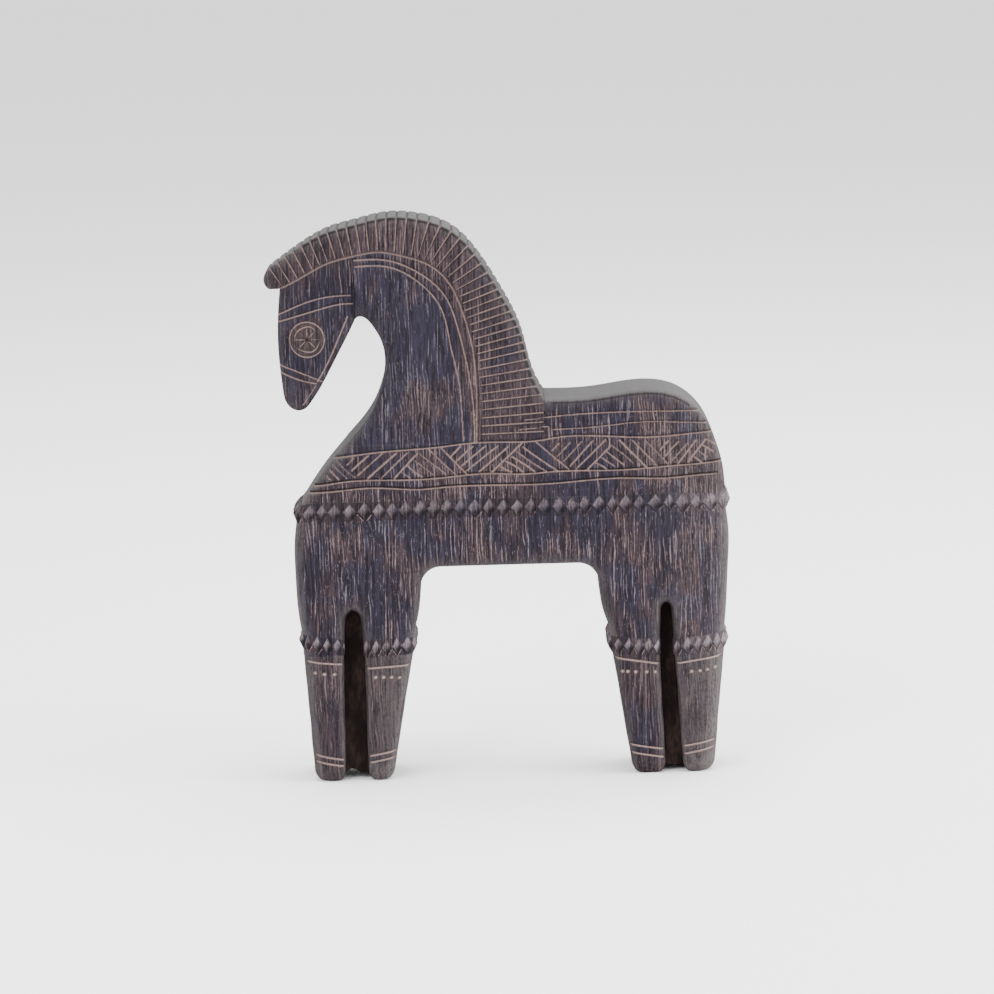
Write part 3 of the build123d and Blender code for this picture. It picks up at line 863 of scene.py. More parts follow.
        sets = [
            ((-115.5, 219.5), (-103.0, 207.5), (-122.0, 209.0), (-119.5, 206.5), 4),
            ((-108.5, 216.0), (-103.0, 221.0), (-101.5, 209.0), (-85.0, 223.0), 3),
            ((-94.5, 207.0), (-75.5, 223.0), (-77.0, 206.5), (-61.0, 223.0), 3),
            ((-72.0, 210.5), (-66.5, 206.5), (-59.5, 222.0), (-42.5, 208.0), 4),
            ((-53.5, 225.5), (-36.0, 207.5), (-45.0, 225.5), (-28.5, 207.5), 2),
            ((-39.0, 220.0), (-32.5, 226.5), (-28.5, 210.5), (-7.5, 226.5), 4),
            ((-20.5, 209.5), (-1.0, 225.5), (-12.0, 209.0), (8.5, 228.0), 2),
            ((-6.0, 212.5), (1.0, 208.5), (9.0, 225.0), (31.5, 208.5), 5),
            ((18.0, 228.0), (39.0, 209.5), (18.4, 228.0), (39.4, 209.5), 1),
            ((28.0, 222.0), (33.0, 227.0), (40.0, 211.5), (55.5, 228.0), 4),
            ((44.0, 209.5), (64.0, 228.5), (51.5, 209.0), (67.5, 224.5), 2),
            ((57.0, 213.0), (64.0, 209.0), (68.5, 224.0), (81.5, 212.5), 4),
            ((73.0, 228.0), (90.5, 209.5), (90.5, 227.0), (105.0, 211.0), 3),
            ((100.0, 220.5), (105.5, 226.5), (106.5, 212.0), (118.5, 225.0), 3),
            ((112.0, 211.5), (124.0, 226.5), (118.5, 212.0), (130.5, 227.0), 2),
            ((123.0, 215.0), (127.5, 211.5), (131.0, 227.0), (139.0, 222.5), 4),
        ]
        for number, (start, end, last_start, last_end, count) in enumerate(sets):
            for line in range(count):
                share = line / max(count - 1, 1)
                low = np.array(start) + (np.array(last_start) - start) * share
                high = np.array(end) + (np.array(last_end) - end) * share
                sway = np.array([0.5, 0.25]) * shiver(np.array(line * 3.7), number)
                middle = (low + high) / 2 + sway
                tone = 0.76 + 0.07 * float(shiver(np.array(line * 1.9), number + 4))
                strokes.append(Stroke(smooth([low, middle, high], 12), 2.5, 0.6, tone=tone))
        return strokes

    def neck_strokes(self) -> list[Stroke]:
        """The border of the mane and the two lines that follow it down the neck."""
        line = smooth([
            (-99.2, 351.7), (-79.0, 351.4), (-57.0, 342.4), (-40.5, 327.4), (-32.0, 304.9), (-26.2, 278.3),
            (-23.1, 250.0), (-23.2, 230.0),
        ], 300)
        second_line = smooth([
            (-98.7, 347.5), (-76.5, 346.7), (-56.0, 335.2), (-43.3, 319.7), (-37.5, 295.8), (-32.1, 267.1),
            (-31.0, 250.6), (-30.5, 230.2),
        ], 300)
        return [
            Stroke(self.border, 2.3, 0.9),
            Stroke(line, 1.7, 0.8, tone=0.9, lip_shadow=0.5),
            Stroke(second_line, 1.7, 0.8, tone=0.9, lip_shadow=0.5),
        ]

    def head_strokes(self) -> list[Stroke]:
        """Bands over the brow and the nose, and the line along the jaw."""
        brow = smooth([(-151.4, 316.0), (-143.6, 319.6), (-132.6, 324.0), (-118.0, 327.6), (-102.5, 328.6)])
        low_brow = smooth([
            (-151.6, 311.4), (-137.0, 315.6), (-120.0, 320.4), (-109.0, 322.8), (-101.5, 323.1),
        ])
        nose = smooth([(-151.0, 282.6), (-131.0, 274.5), (-123.2, 271.2)])
        low_nose = smooth([(-151.0, 277.9), (-132.5, 270.8), (-127.2, 269.9)])
        jaw = smooth([(-104.9, 314.5), (-108.6, 306.3), (-113.7, 294.8), (-120.9, 280.2), (-126.2, 271.6)])
        mouth = smooth([(-127.6, 268.6), (-132.2, 261.6), (-137.0, 255.2)])
        cheek = straight((-101.0, 343.0), (-101.0, 318.0))
        ear = smooth([(-103.2, 352.0), (-102.4, 343.0), (-102.8, 335.0)])
        second_ear = smooth([(-109.4, 349.0), (-109.0, 338.0), (-107.8, 330.5)])
        return [
            Stroke(self.border, 2.3, 0.9),
            Stroke(brow, 1.6, 0.7, tone=0.88, lip_shadow=0.5),
            Stroke(low_brow, 1.6, 0.7, tone=0.88, lip_shadow=0.5),
            Stroke(nose, 1.6, 0.7, tone=0.88),
            Stroke(low_nose, 1.6, 0.7, tone=0.88),
            Stroke(jaw, 1.8, 0.7, tone=0.85),
            Stroke(mouth, 1.3, 0.6, tone=0.78),
            # Dark crease at the cheek: painted shadow
            Stroke(cheek, 1.0, 0.3, True, tone=0.7),
            Stroke(ear, 1.2, 0.5, tone=0.80),
            Stroke(second_ear, 1.2, 0.5, tone=0.80),
        ]

    def leg_strokes(self) -> list[Stroke]:
        """Lines under the knees, lines over the hooves and the rows of dots."""
        lines = [
            ((-140.0, 83.5), (-115.5, 81.3)), ((-99.0, 78.0), (-69.0, 79.8)),
            ((66.0, 80.8), (96.0, 76.0)), ((107.5, 75.6), (140.5, 80.5)),
            ((-137.0, 18.9), (-116.5, 15.2)), ((-136.5, 14.3), (-116.5, 10.8)),
            ((-100.5, 17.2), (-80.0, 21.0)), ((-100.5, 12.6), (-81.0, 16.4)),
            ((74.0, 20.7), (100.0, 16.6)), ((75.0, 15.2), (99.5, 11.0)),
            ((111.4, 18.4), (133.5, 22.1)), ((111.3, 12.8), (133.0, 17.1)),
        ]
        strokes = [Stroke(straight(start, end), 1.4, 0.7, tone=1.5, lip_shadow=0.4) for start, end in lines]
        dots = [
            (-134.6, 75.8), (-128.0, 74.9), (-121.3, 74.7), (-93.9, 71.9), (-88.5, 71.8), (-83.2, 71.6),
            (-77.8, 71.4), (71.0, 71.3), (75.0, 71.2), (80.3, 70.7), (87.7, 70.5), (93.7, 70.3),
            (117.8, 70.0), (123.5, 70.3), (128.6, 71.0), (134.0, 72.3),
        ]
        strokes += [Stroke(np.array([dot, (dot[0] + 0.3, dot[1])]), 2.5, 0.9, tone=1.6) for dot in dots]
        return strokes


NECK_CAST = Cast(-0.12, 0.70)


@dataclass
class Trunk:
    """The two quarters, the belly and the back."""

    drawing: Drawing
    step: float = 0.8
    fine_step: float = 0.62
    slot_cover: float = 5.0
    rump_corner: float = 251.0
    croup_height: float = 27.0
    seam_drop: float = 2.6
    seam_start: int = 8
    seam_end: int = 190
    pieces: dict[str, bpy.types.Object] = field(default_factory=dict)

    def quarter_hull(self, name: str, plan: LegPlan, outer: Line, inner: Line, front: bool) -> Hull:
        """Patches of one quarter: level rows on both sides of the slot, a fan over it, rows above.

        Args:
            name: name of the piece.
            plan: plan of the two legs.
            outer: outer edge, rising.
            inner: inner edge, rising.
            front: whether this is the front quarter, whose outer edge lies towards -X.

        Returns:
            The hull with its patches.
        """
        d = self.drawing
        low, high = (outer, inner) if front else (inner, outer)
        low_radius = d.leg_outer_radius if front else d.leg_inner_radius
        high_radius = d.leg_inner_radius if front else d.leg_outer_radius
        edge = d.slot_line(plan)
        slot = Edge(d.narrowed(plan, edge), d.slot_radius)
        hull = Hull(name, SideCraft(d.sizes, d.edges() + [slot]))
        knee, top = d.sizes.knee_height, d.sizes.girth_height
        half, middle = plan.slot_half, plan.slot_middle
        left, right = middle - half, middle + half
        spring = knee + d.slot_rise - half
        shoulder = spring + half + self.slot_cover
        arch_foot = d.sizes.belly_height - d.arch_radius
        turn = np.linspace(0, QUARTER_TURN, d.arch_points)
        lower = even(knee, spring, self.step)
        middle_levels = even(spring, shoulder, self.step)
        upper = np.concatenate((
            even(shoulder, arch_foot, self.step)[:-1],
            arch_foot + d.arch_radius * np.sin(turn)[:-1],
            d.sizes.belly_height + d.leg_inner_radius * (1 - np.cos(turn[::2]))[:-1],
            even(d.sizes.belly_height + d.leg_inner_radius, top, self.step),
        ))
        ahead = spread(left - outline_at(low, knee), self.step, low_radius, d.slot_radius)
        between = spread(2 * half, self.step)
        behind = spread(outline_at(high, knee) - right, self.step, d.slot_radius, high_radius)
        for levels in (lower, middle_levels, upper):
            hull.add(d.narrowed(plan, levels_band(levels, outline_at(low, levels), left, ahead)))
            hull.add(d.narrowed(plan, levels_band(levels, right, outline_at(high, levels), behind)))
        hull.add(d.narrowed(plan, levels_band(upper, left, right, between)))
        arch = edge[edge[:, 1] >= spring - 1e-9]
        hull.add(d.narrowed(plan, coons(
            arch, straight((left, shoulder), (right, shoulder)),
            straight((left, spring), (left, shoulder)), straight((right, spring), (right, shoulder)),
            between, (middle_levels - spring) / (shoulder - spring),
        )))
        return hull

    def build(self) -> None:
        """Builds the four pieces of the trunk."""
        d = self.drawing
        quarters = {
            "fore_quarter": (d.fore, d.fore_outer, d.fore_inner, True),
            "hind_quarter": (d.hind, d.hind_outer, d.hind_inner, False),
        }
        for name, (plan, outer, inner, front) in quarters.items():
            hull = self.quarter_hull(name + "_skin", plan, outer, inner, front)
            self.pieces[name] = hull.build([Edge(d.narrowed(plan, d.slot_line(plan)), d.slot_radius)])
        belly = Hull("belly_skin", SideCraft(d.sizes, d.edges()))
        height = d.sizes.girth_height - d.sizes.belly_height
        levels = d.sizes.belly_height + height * spread(height, self.step, d.leg_inner_radius)
        shares = spread(d.hind_joint_x - d.fore_joint_x, self.step)
        belly.add(levels_band(levels, d.fore_joint_x, d.hind_joint_x, shares))
        self.pieces["belly"] = belly.build()
        self.pieces["back"] = self.build_back()

    def build_back(self) -> bpy.types.Object:
        """The back: level rows from chest to rump, and the croup fitted over their rear part."""
        d = self.drawing
        crown_edge = d.croup[self.seam_start:self.seam_end]
        # Dark seam just below the croup edge: painted shadow
        seam = Stroke(crown_edge - np.array([0.0, self.seam_drop]), 1.0, 0.3, True, tone=0.8)
        foot = d.frieze_top()
        back = Hull("back_skin", SideCraft(d.sizes, d.edges(), d.frieze() + [seam]), wall_rows=16,
                    cast=Cast(0.06), upper_cast=NECK_CAST, parting=foot[foot[:, 0] < d.border[-1, 0]])
        girth, withers = d.sizes.girth_height, d.sizes.withers_height
        rump = d.croup[::-1]
        rump = rump[:np.argmax(rump[:, 1]) + 1]
        levels = girth + (withers - girth) * spread(withers - girth, self.fine_step)
        chest_x, rump_x = outline_at(d.chest, levels), outline_at(rump, levels)
        front = spread(d.riser_x - chest_x[0], self.fine_step, d.chest_radius)
        rear = spread(rump_x[0] - d.riser_x, self.fine_step, 0.0, d.back_radius)
        back.add(levels_band(levels, chest_x, d.riser_x, front))
        back.add(levels_band(levels, d.riser_x, rump_x, rear))
        rump_side = between_heights(rump, withers, self.rump_corner)
        crown = d.croup[d.croup[:, 0] < rump_side[-1, 0]]
        crown = join(crown, np.array([crown[-1], rump_side[-1]]))
        back.add(coons(
            straight((d.riser_x, withers), rump_side[0]), crown,
            straight((d.riser_x, withers), (d.riser_x, d.riser_height)), rump_side,
            rear, spread(self.croup_height, self.fine_step, 0.0, d.back_radius),
        ))
        return back.build()


@dataclass
class Mane:
    """Crescent of locks over neck and head, with a groove between each two that also notches the crest."""

    drawing: Drawing
    lock_count: int = 45
    points_per_lock: int = 12
    crowding: float = 0.72
    rows: int = 34
    crest_rows: int = 7
    least_reach: float = 6.0
    groove_width: float = 1.5
    groove_depth: float = 0.8
    notch_depth: float = 0.7
    notch_start: float = 0.85
    notch_run: float = 0.15
    seam_inset: float = 1.5
    seam_margin: int = 60
    forelock_start: int = 26

    def columns(self) -> tuple[Line, Line, Line, np.ndarray]:
        """Both ends of each column of points, and where it lies among the locks.

        Columns follow the grooves, and lie closer together beside them.

        Returns:
            The outer line of the mane, the columns' ends on the border and on that line, and their locks.
        """
        d = self.drawing
        foot = straight((d.riser_x, d.riser_height), (d.riser_x, d.sizes.withers_height), 40)
        outer = join(d.forelock[::-1][self.forelock_start:], d.crest[1:], foot)
        lock_starts = [0, 1, 5, 11, 17, 20, 26, 35, self.lock_count]
        border_shares = [0.0, 0.01, 0.11, 0.255, 0.40, 0.455, 0.58, 0.77, 1.0]
        crest_shares = [0.0, 0.055, 0.14, 0.27, 0.405, 0.485, 0.63, 0.795, 1.0]
        lock = np.linspace(0, self.lock_count, self.lock_count * self.points_per_lock + 1)
        lock = lock - self.crowding * np.sin(FULL_TURN * lock) / FULL_TURN
        border = along(d.border, np.interp(lock, lock_starts, border_shares))
        crest = along(outer, np.interp(lock, lock_starts, crest_shares))
        return outer, border, crest, lock

    def build(self) -> bpy.types.Object:
        """Builds the mane, one column of points after another from its inner border out to the crest.

        A groove is exp(-(2 a / w)^2) with a the distance from its middle and w its width.

        Returns:
            The finished mane.
        """
        d = self.drawing
        outer, border, crest, lock = self.columns()
        reach = np.linalg.norm(crest - border, axis=1)
        span = np.maximum(reach, self.least_reach)[:, None]
        turn = 1 - np.cos(np.linspace(0, QUARTER_TURN, self.crest_rows))
        near_crest = 1 - (d.crest_radius * turn[:-1])[::-1][None] / span
        inner = np.linspace(0, 1, self.rows)[None] * (1 - d.crest_radius / span)
        rows = np.concatenate((inner[:, :-1], near_crest), axis=1)
        grid = border[:, None] + rows[..., None] * (crest - border)[:, None]
        nearest = np.round(lock)
        crest_step = np.linalg.norm(np.diff(crest, axis=0), axis=1)
        lock_width = np.interp(lock, 0.5 * (lock[1:] + lock[:-1]), crest_step / np.diff(lock))
        gap = (lock - nearest) * lock_width
        cut = (nearest > 0) & (nearest < self.lock_count)
        line = bell(2 * gap, self.groove_width) * cut
        deep = 0.85 + 0.15 * shiver(nearest, 5.0)[:, None] * np.sin(rows * 6 + nearest[:, None] * 2.1)
        away_from_border = unit(rows * 12)
        press = self.groove_depth * line[:, None] * deep * away_from_border
        inward = (border - crest) / np.maximum(reach, 1e-6)[:, None]
        notch = self.notch_depth * line[:, None] * unit((rows - self.notch_start) / self.notch_run)
        push = inward[:, None] * notch[..., None]
        # Painted shadow along one side of each groove
        beside = 0.7 * bell(np.abs(gap) - 1.0, 0.5) * (gap > 0) * cut
        shade = beside[:, None] * away_from_border
        # Dark ticks of painted shadow across the crest at each notch
        shade[:, -1] = 0.55 * line
        # Dark seam just inside the crest: painted shadow
        seam_line = (crest + inward * self.seam_inset)[self.seam_margin:-self.seam_margin]
        seam = Stroke(seam_line, 1.5, 0.3, True, tone=0.9)
        frieze = d.frieze()
        edges = [Edge(outer[outer[:, 0] < d.riser_x - 0.1], d.crest_radius), Edge(d.border, 1.0, 0.0)]
        strokes = [Stroke(d.border, 1.4, 0.3)] + frieze[:1] + frieze[3:6] + [seam]
        craft = SideCraft(d.sizes, edges, strokes)
        hull = Hull("mane_skin", craft, cheeks=True, cast=Cast(0.16, 0.55))
        hull.add(grid, push, press, shade)
        return hull.build()


@dataclass
class Eye:
    """Round eye: a disc with two rings and a star pressed into it, laid on the slanting cheek."""

    sizes: SideSizes
    side: int
    place: tuple[float, float] = (-132.4, 299.5)
    radius: float = 12.6
    proud: float = 0.9
    rounding: float = 0.9
    back_depth: float = 1.6
    ring_radius: float = 8.4
    outer_ring_radius: float = 11.7
    ring_width: float = 0.75
    star_start: float = 1.2
    star_end: float = 7.7
    leaf_length: float = 6.4
    groove_depth: float = 0.65
    around: int = 144
    rings: int = 44

    def relief(self, r: np.ndarray, angle: np.ndarray) -> tuple[np.ndarray, np.ndarray]:
        """Grooves and height of the disc.

        The inner ring wavers a little. Each of the star's eight leaves is exp(-(a / w)^2) with a the distance
        from its middle line and w its width, which is largest half way out.

        Args:
            r: distances from the middle, in a column.
            angle: angles round the middle.

        Returns:
            The share of groove and the height over the cheek, for each distance and angle.
        """
        ray = np.abs(np.sin(4 * angle))[None]
        wobble = 0.25 * np.sin(3 * angle + 0.6)[None] + 0.15 * np.sin(5 * angle)[None]
        inner = bell(r - self.ring_radius - wobble, self.ring_width)
        inner = inner * (0.78 + 0.22 * np.sin(2 * angle + 2.2)[None])
        outer = bell(r - self.outer_ring_radius, self.ring_width) + 0 * ray
        leaf = 0.30 + 0.35 * np.sin(unit((r - self.star_start) / self.leaf_length) * math.pi)
        star = bell(r * np.sin(np.arcsin(ray) / 4), leaf) * (r > self.star_start) * (r < self.star_end)
        star = star * (0.8 + 0.2 * np.sin(angle * 3 + 1.0)[None])
        groove = np.maximum(np.maximum(inner, 0.84 * outer), star)
        edge_start = self.radius - self.rounding
        edge = np.sqrt(unit(1 - ((r - edge_start) / self.rounding) ** 2))
        height = np.where(r > edge_start, self.proud * edge, self.proud) + 0 * ray
        height = height - self.groove_depth * groove
        return groove, height - 0.15 * swell(r * np.cos(angle) * 6, r * np.sin(angle) * 6)

    def build(self) -> bpy.types.Object:
        """Builds the disc as rings of points round its middle, with a plain back in the cheek."""
        angle = np.linspace(0, FULL_TURN, self.around, endpoint=False) + math.pi / self.around
        r = np.linspace(0.25, self.radius, self.rings)[:, None]
        groove, height = self.relief(r, angle)
        sizes = self.sizes
        slope = (sizes.cheek_width - sizes.nose_width) / (sizes.cheek_x - sizes.nose_x) / 2
        outward = np.array([-slope, self.side, 0.0])
        outward = outward / np.linalg.norm(outward)
        up = np.array([0.0, 0.0, 1.0])
        cross = np.cross(up, outward)
        half = sizes.half(*self.place, True)
        centre = np.array([self.place[0] + SHIFT, self.side * half, self.place[1]])
        flat_x, flat_y = r * np.cos(angle), r * np.sin(angle)
        top = centre + flat_x[..., None] * up + flat_y[..., None] * cross + height[..., None] * outward
        back = centre + flat_x[-1][:, None] * up + flat_y[-1][:, None] * cross - self.back_depth * outward
        points = np.concatenate((top.reshape(-1, 3), back))
        number = np.arange(len(points)).reshape(-1, self.around)
        faces = np.concatenate((
            ring_faces(number, False), cap_faces(number[0]), cap_faces(number[-1])[:, ::-1],
        ))
        shown = {
            "groove": groove,
            # Raised parts of the disc paler: wear with painted sheen
            "wear_and_sheen": unit(height) * 0.3,
            # Painted shade at the middle of the star, where its leaves meet
            "painted_shade": 0.8 * (bell(r, 1.3) + 0 * height),
        }
        plain = np.zeros(self.around)
        marks = {name: np.concatenate((values.ravel(), plain)) for name, values in shown.items()}
        return make_object(("near" if self.side < 0 else "far") + "_eye_disc", points, faces, marks)


@dataclass
class NeckAndHead:
    """The neck, the head, the mane with its forelock, and the two eyes."""

    drawing: Drawing
    step: float = 0.75
    head_step: float = 0.55
    head_row_step: float = 0.6
    neck_span: float = 72.0
    neck_reach: float = 150.0
    head_span: float = 42.0
    head_reach: float = 110.0
    chin_start: float = 0.475
    chin_end: float = 0.60
    warm_start: int = 150
    pieces: dict[str, bpy.types.Object] = field(default_factory=dict)

    def build(self) -> None:
        """Builds the neck, the head, the mane and the eyes."""
        self.pieces["neck"] = self.build_neck()
        self.pieces["head"] = self.build_head()
        self.pieces["mane"] = Mane(self.drawing).build()
        self.pieces["near_eye"] = Eye(self.drawing.sizes, -1).build()
        self.pieces["far_eye"] = Eye(self.drawing.sizes, 1).build()

    def joint_share(self) -> float:
        """Share of the border's length at which the head meets the neck."""
        border = self.drawing.border
        walked = walk(border)
        rising = len(border) // 2
        place = np.interp(self.drawing.sizes.cheek_x, border[:rising, 0], walked[:rising])
        return float(place / walked[-1])

    def build_neck(self) -> bpy.types.Object:
        """The neck: a patch between the throat and the border of the mane that turns through the bend."""
        d = self.drawing
        border = along(d.border, np.linspace(1, self.joint_share(), 300))
        # Dark crease where the neck meets the head: painted shadow
        crease = Stroke(smooth([(-100.0, 343.0), (-99.9, 330.0), (-100.4, 314.0)]), 1.5, 0.7, True, tone=0.85)
        craft = SideCraft(d.sizes, [Edge(d.throat, d.neck_radius, 0.4), Edge(d.chest, d.chest_radius)],
                          d.neck_strokes() + d.frieze()[:1] + [crease])
        hull = Hull("neck_skin", craft, cast=NECK_CAST, warm_line=d.border[self.warm_start:])
        across = spread(self.neck_span, self.step, d.neck_radius)
        hull.add(coons(
            straight(d.throat[0], border[0]), straight(d.throat[-1], border[-1]),
            d.throat, border, across, spread(self.neck_reach, self.step),
        ))
        return hull.build()

    def build_head(self) -> bpy.types.Object:
        """The head: a patch from the brow to the nose, between the face and the jaw."""
        d = self.drawing
        brow = along(d.border, np.linspace(0, self.joint_share(), 120))
        face = along(d.face, np.linspace(self.chin_start, 0, 160))
        chin = along(d.face, np.linspace(self.chin_start, self.chin_end, 40))
        jaw = along(d.face, np.linspace(self.chin_end, 1, 160))
        rear = join(jaw, straight(jaw[-1], brow[-1], 40))
        craft = SideCraft(d.sizes, [Edge(d.face, d.head_radius, 0.35)], d.head_strokes())
        hull = Hull("head_skin", craft, cheeks=True, cast=Cast(-0.04, 0.5))
        across = spread(self.head_span, self.head_step, d.head_radius, d.head_radius)
        up = spread(self.head_reach, self.head_row_step, d.head_radius)
        hull.add(coons(chin, brow, face, rear, across, up))
        return hull.build()


@dataclass
class Ring:
    """Level section with rounded corners, or a row of them, and the way outwards at each point."""

    points: np.ndarray
    outward: np.ndarray


def section_ring(low: np.ndarray, high: np.ndarray, half: np.ndarray, radii: tuple, counts: tuple) -> Ring:
    """Level sections of a leg or of the trunk: straight sides joined by quarter circles.

    Args:
        low: -X end of each section.
        high: +X end of each section.
        half: half the width of each section.
        radii: corner radii at the -X end and at the +X end of each section.
        counts: points along a side, round a corner and along an end; the last one is even.

    Returns:
        For each section its points, anticlockwise from above, and their outward directions.
    """
    side, corner, end = counts
    turn = np.linspace(0, QUARTER_TURN, corner + 2)[1:-1]
    level = (len(low), 1)
    low, high, half = low.reshape(level), high.reshape(level), half.reshape(level)
    first, second = radii[0].reshape(level), radii[1].reshape(level)
    share = np.linspace(0, 1, side)[None]
    rise = np.linspace(-1, 1, end)[None]
    near_x = low + first + share * (high - second - low - first)
    near = np.stack((near_x, -half + 0 * near_x), axis=-1)
    far = near[:, ::-1] * np.array([1.0, -1.0])
    tip_y = rise * (half - second)
    rear = np.stack((high + 0 * tip_y, tip_y), axis=-1)
    foot_y = -rise * (half - first)
    front = np.stack((low + 0 * foot_y, foot_y), axis=-1)

    def arc(centre_x: np.ndarray, centre_y: np.ndarray, radius: np.ndarray, start: float) -> np.ndarray:
        """Points of one corner's quarter circle."""
        angle = start + turn
        return np.stack((centre_x + radius * np.cos(angle), centre_y + radius * np.sin(angle)), axis=-1)

    points = np.concatenate((
        near, arc(high - second, second - half, second, -QUARTER_TURN),
        rear, arc(high - second, half - second, second, 0.0),
        far, arc(low + first, half - first, first, QUARTER_TURN),
        front, arc(low + first, first - half, first, math.pi),
    ), axis=1)
    angles = np.concatenate((
        np.full(side, -QUARTER_TURN), -QUARTER_TURN + turn, np.zeros(end), turn,
        np.full(side, QUARTER_TURN), QUARTER_TURN + turn, np.full(end, math.pi), math.pi + turn,
    ))
    outward = np.stack((np.cos(angles), np.sin(angles)), axis=1)
    return Ring(points, outward)


@dataclass
class Legs:
    """The four shanks with their hooves, and the walls in the slots between them."""

    drawing: Drawing
    step: float = 0.75
    section_counts: tuple[int, int, int] = (44, 9, 40)
    hoof_radius: float = 8.0
    hoof_inset: float = 5.2
    hoof_height: float = 13.0
    corner_loss: float = 0.6
    least_corner: float = 1.2
    # How pale each shank gets: paler clay on the hoof, and on the rear leg of each pair painted light towards
    # +X with wear
    worn: tuple[float, float, float, float] = (0.45, 0.85, 0.0, 0.7)
    web_half: float = 18.0
    web_lift: float = 2.0
    web_overlap: float = 1.5
    web_rise: float = 33.0
    web_reach: float = 115.0
    web_step: float = 1.5
    web_columns: int = 16
    web_depth_points: int = 14
    web_notches: tuple[float, float] = (4.0, 1.0)
    notch_place: float = 4.5
    notch_widths: tuple[float, float] = (3.5, 7.0)
    pieces: dict[str, bpy.types.Object] = field(default_factory=dict)

    def shanks(self) -> dict[str, tuple[LegPlan, int, tuple, tuple]]:
        """Plan, number in the pair and corner radii at knee and foot of each shank."""
        d = self.drawing
        outer, inner, slot = d.leg_outer_radius, d.leg_inner_radius, d.slot_radius
        return {
            "foreleg_front": (d.fore, 0, (outer, slot), (d.foot_outer_radius, slot)),
            "foreleg_rear": (d.fore, 1, (slot, inner), (slot, d.foot_inner_radius)),
            "hindleg_front": (d.hind, 0, (inner, slot), (d.foot_inner_radius, slot)),
            "hindleg_rear": (d.hind, 1, (slot, outer), (slot, d.foot_outer_radius)),
        }

    def build(self) -> None:
        """Builds the shanks and the walls between them."""
        for name, (plan, number, knee_radii, foot_radii) in self.shanks().items():
            self.pieces[name + "_shank"] = self.build_shank(name, plan, number, knee_radii, foot_radii)
        self.pieces["fore_web"] = self.build_web("fore_wall", self.drawing.fore, self.web_notches[0])
        self.pieces["hind_web"] = self.build_web("hind_wall", self.drawing.hind, self.web_notches[1])

    def build_shank(self, name: str, plan: LegPlan, number: int, knee: tuple,
                    foot: tuple) -> bpy.types.Object:
        """Shank: level sections that change evenly from the foot to the knee.

        Up to the hoof radius r each section shrinks by the hoof inset times 1 - sqrt(1 - ((r - z) / r)^2).
        The wall moves in by the swell and by the strokes on its two sides.

        Args:
            name: name of the leg.
            plan: plan of its pair.
            number: 0 for the front one of the pair, 1 for the rear one.
            knee: corner radii at the knee.
            foot: corner radii at the foot.

        Returns:
            The finished shank.
        """
        d = self.drawing
        top = d.sizes.knee_height
        z = top * spread(top, self.step, self.hoof_radius)
        share = z / top
        under = unit(1 - z / self.hoof_radius)
        inset = self.hoof_inset * (1 - np.sqrt(1 - under**2))

        def between(start: float, end: float) -> np.ndarray:
            """Values at the levels, evenly from foot to knee."""
            return start + (end - start) * share

        low = between(plan.foot[2 * number], plan.knee[2 * number]) + inset
        high = between(plan.foot[2 * number + 1], plan.knee[2 * number + 1]) - inset
        half = between(d.sizes.foot_width / 2, d.sizes.body_width / 2) - inset
        corners = [between(foot[end], knee[end]) - self.corner_loss * inset for end in (0, 1)]
        radii = tuple(np.maximum(corner, self.least_corner) for corner in corners)
        ring = section_ring(low, high, half, radii, self.section_counts)
        x, y = ring.points[..., 0], ring.points[..., 1]
        height = np.broadcast_to(z[:, None], x.shape)
        flat = np.stack((x.ravel(), height.ravel()), axis=1)
        skin = SideCraft(d.sizes, strokes=d.leg_strokes()).skin(flat)
        facing = unit(np.abs(ring.outward[:, 1]) * 2.2 - 0.5)[None]
        line = skin.groove.reshape(x.shape) * facing
        groove = np.minimum(line, 1)
        crease = skin.crease.reshape(x.shape) * facing * (1 - groove)
        push = (0.75 * groove + 0.55 * swell(x * 1.3 + y * 0.7, height * 1.2)) * unit(z / 3)[:, None]
        x = x - ring.outward[None, :, 0] * push
        y = y - ring.outward[None, :, 1] * push
        slot_way = 1 - 2 * number
        # Painted shade on the sides that face into the slot
        depth = unit((d.sizes.foot_width / 2 - 2 - np.abs(y)) / 5)
        painted_shade = unit(ring.outward[None, :, 0] * slot_way * 2 - 0.6) * depth
        # Paler rounded corners: wear with painted sheen
        corner = bell(np.abs(np.abs(ring.outward[:, 0]) - 0.7), 0.3)[None] * np.ones_like(x)
        # Paler towards +X on the rear leg of each pair: painted light from that side, with wear
        worn = self.worn[list(self.shanks()).index(name)]
        rearward = unit(0.2 + 1.1 * (x - low[:, None]) / (high - low)[:, None] * number)
        hoof = unit((self.hoof_height + 2 * np.sin(x * 0.5) - height) / 4)
        marks = {
            "groove": np.maximum(line, 0.42 * (worn > 0) * hoof).ravel(),
            "wear_and_sheen": (0.9 * corner + worn * rearward + 0.9 * worn * hoof).ravel(),
            "painted_shade": np.maximum(painted_shade, 0.8 * crease).ravel(),
            "brown": (0.10 + 0.2 * hoof).ravel(),
            "combed": np.full(x.size, 0.55 + 0.2 * worn),
        }
        points = np.stack((x + SHIFT, y, height), axis=-1).reshape(-1, 3)
        table = np.arange(x.size).reshape(x.shape)
        side_count, corner_count, end_count = self.section_counts
        capped = np.roll(table[[0, -1]], -(side_count + corner_count + end_count // 2), axis=1)
        faces = np.concatenate((
            ring_faces(table, True), cap_faces(capped[0])[:, ::-1], cap_faces(capped[1]),
        ))
        return make_object(name + "_post", points, faces, marks)

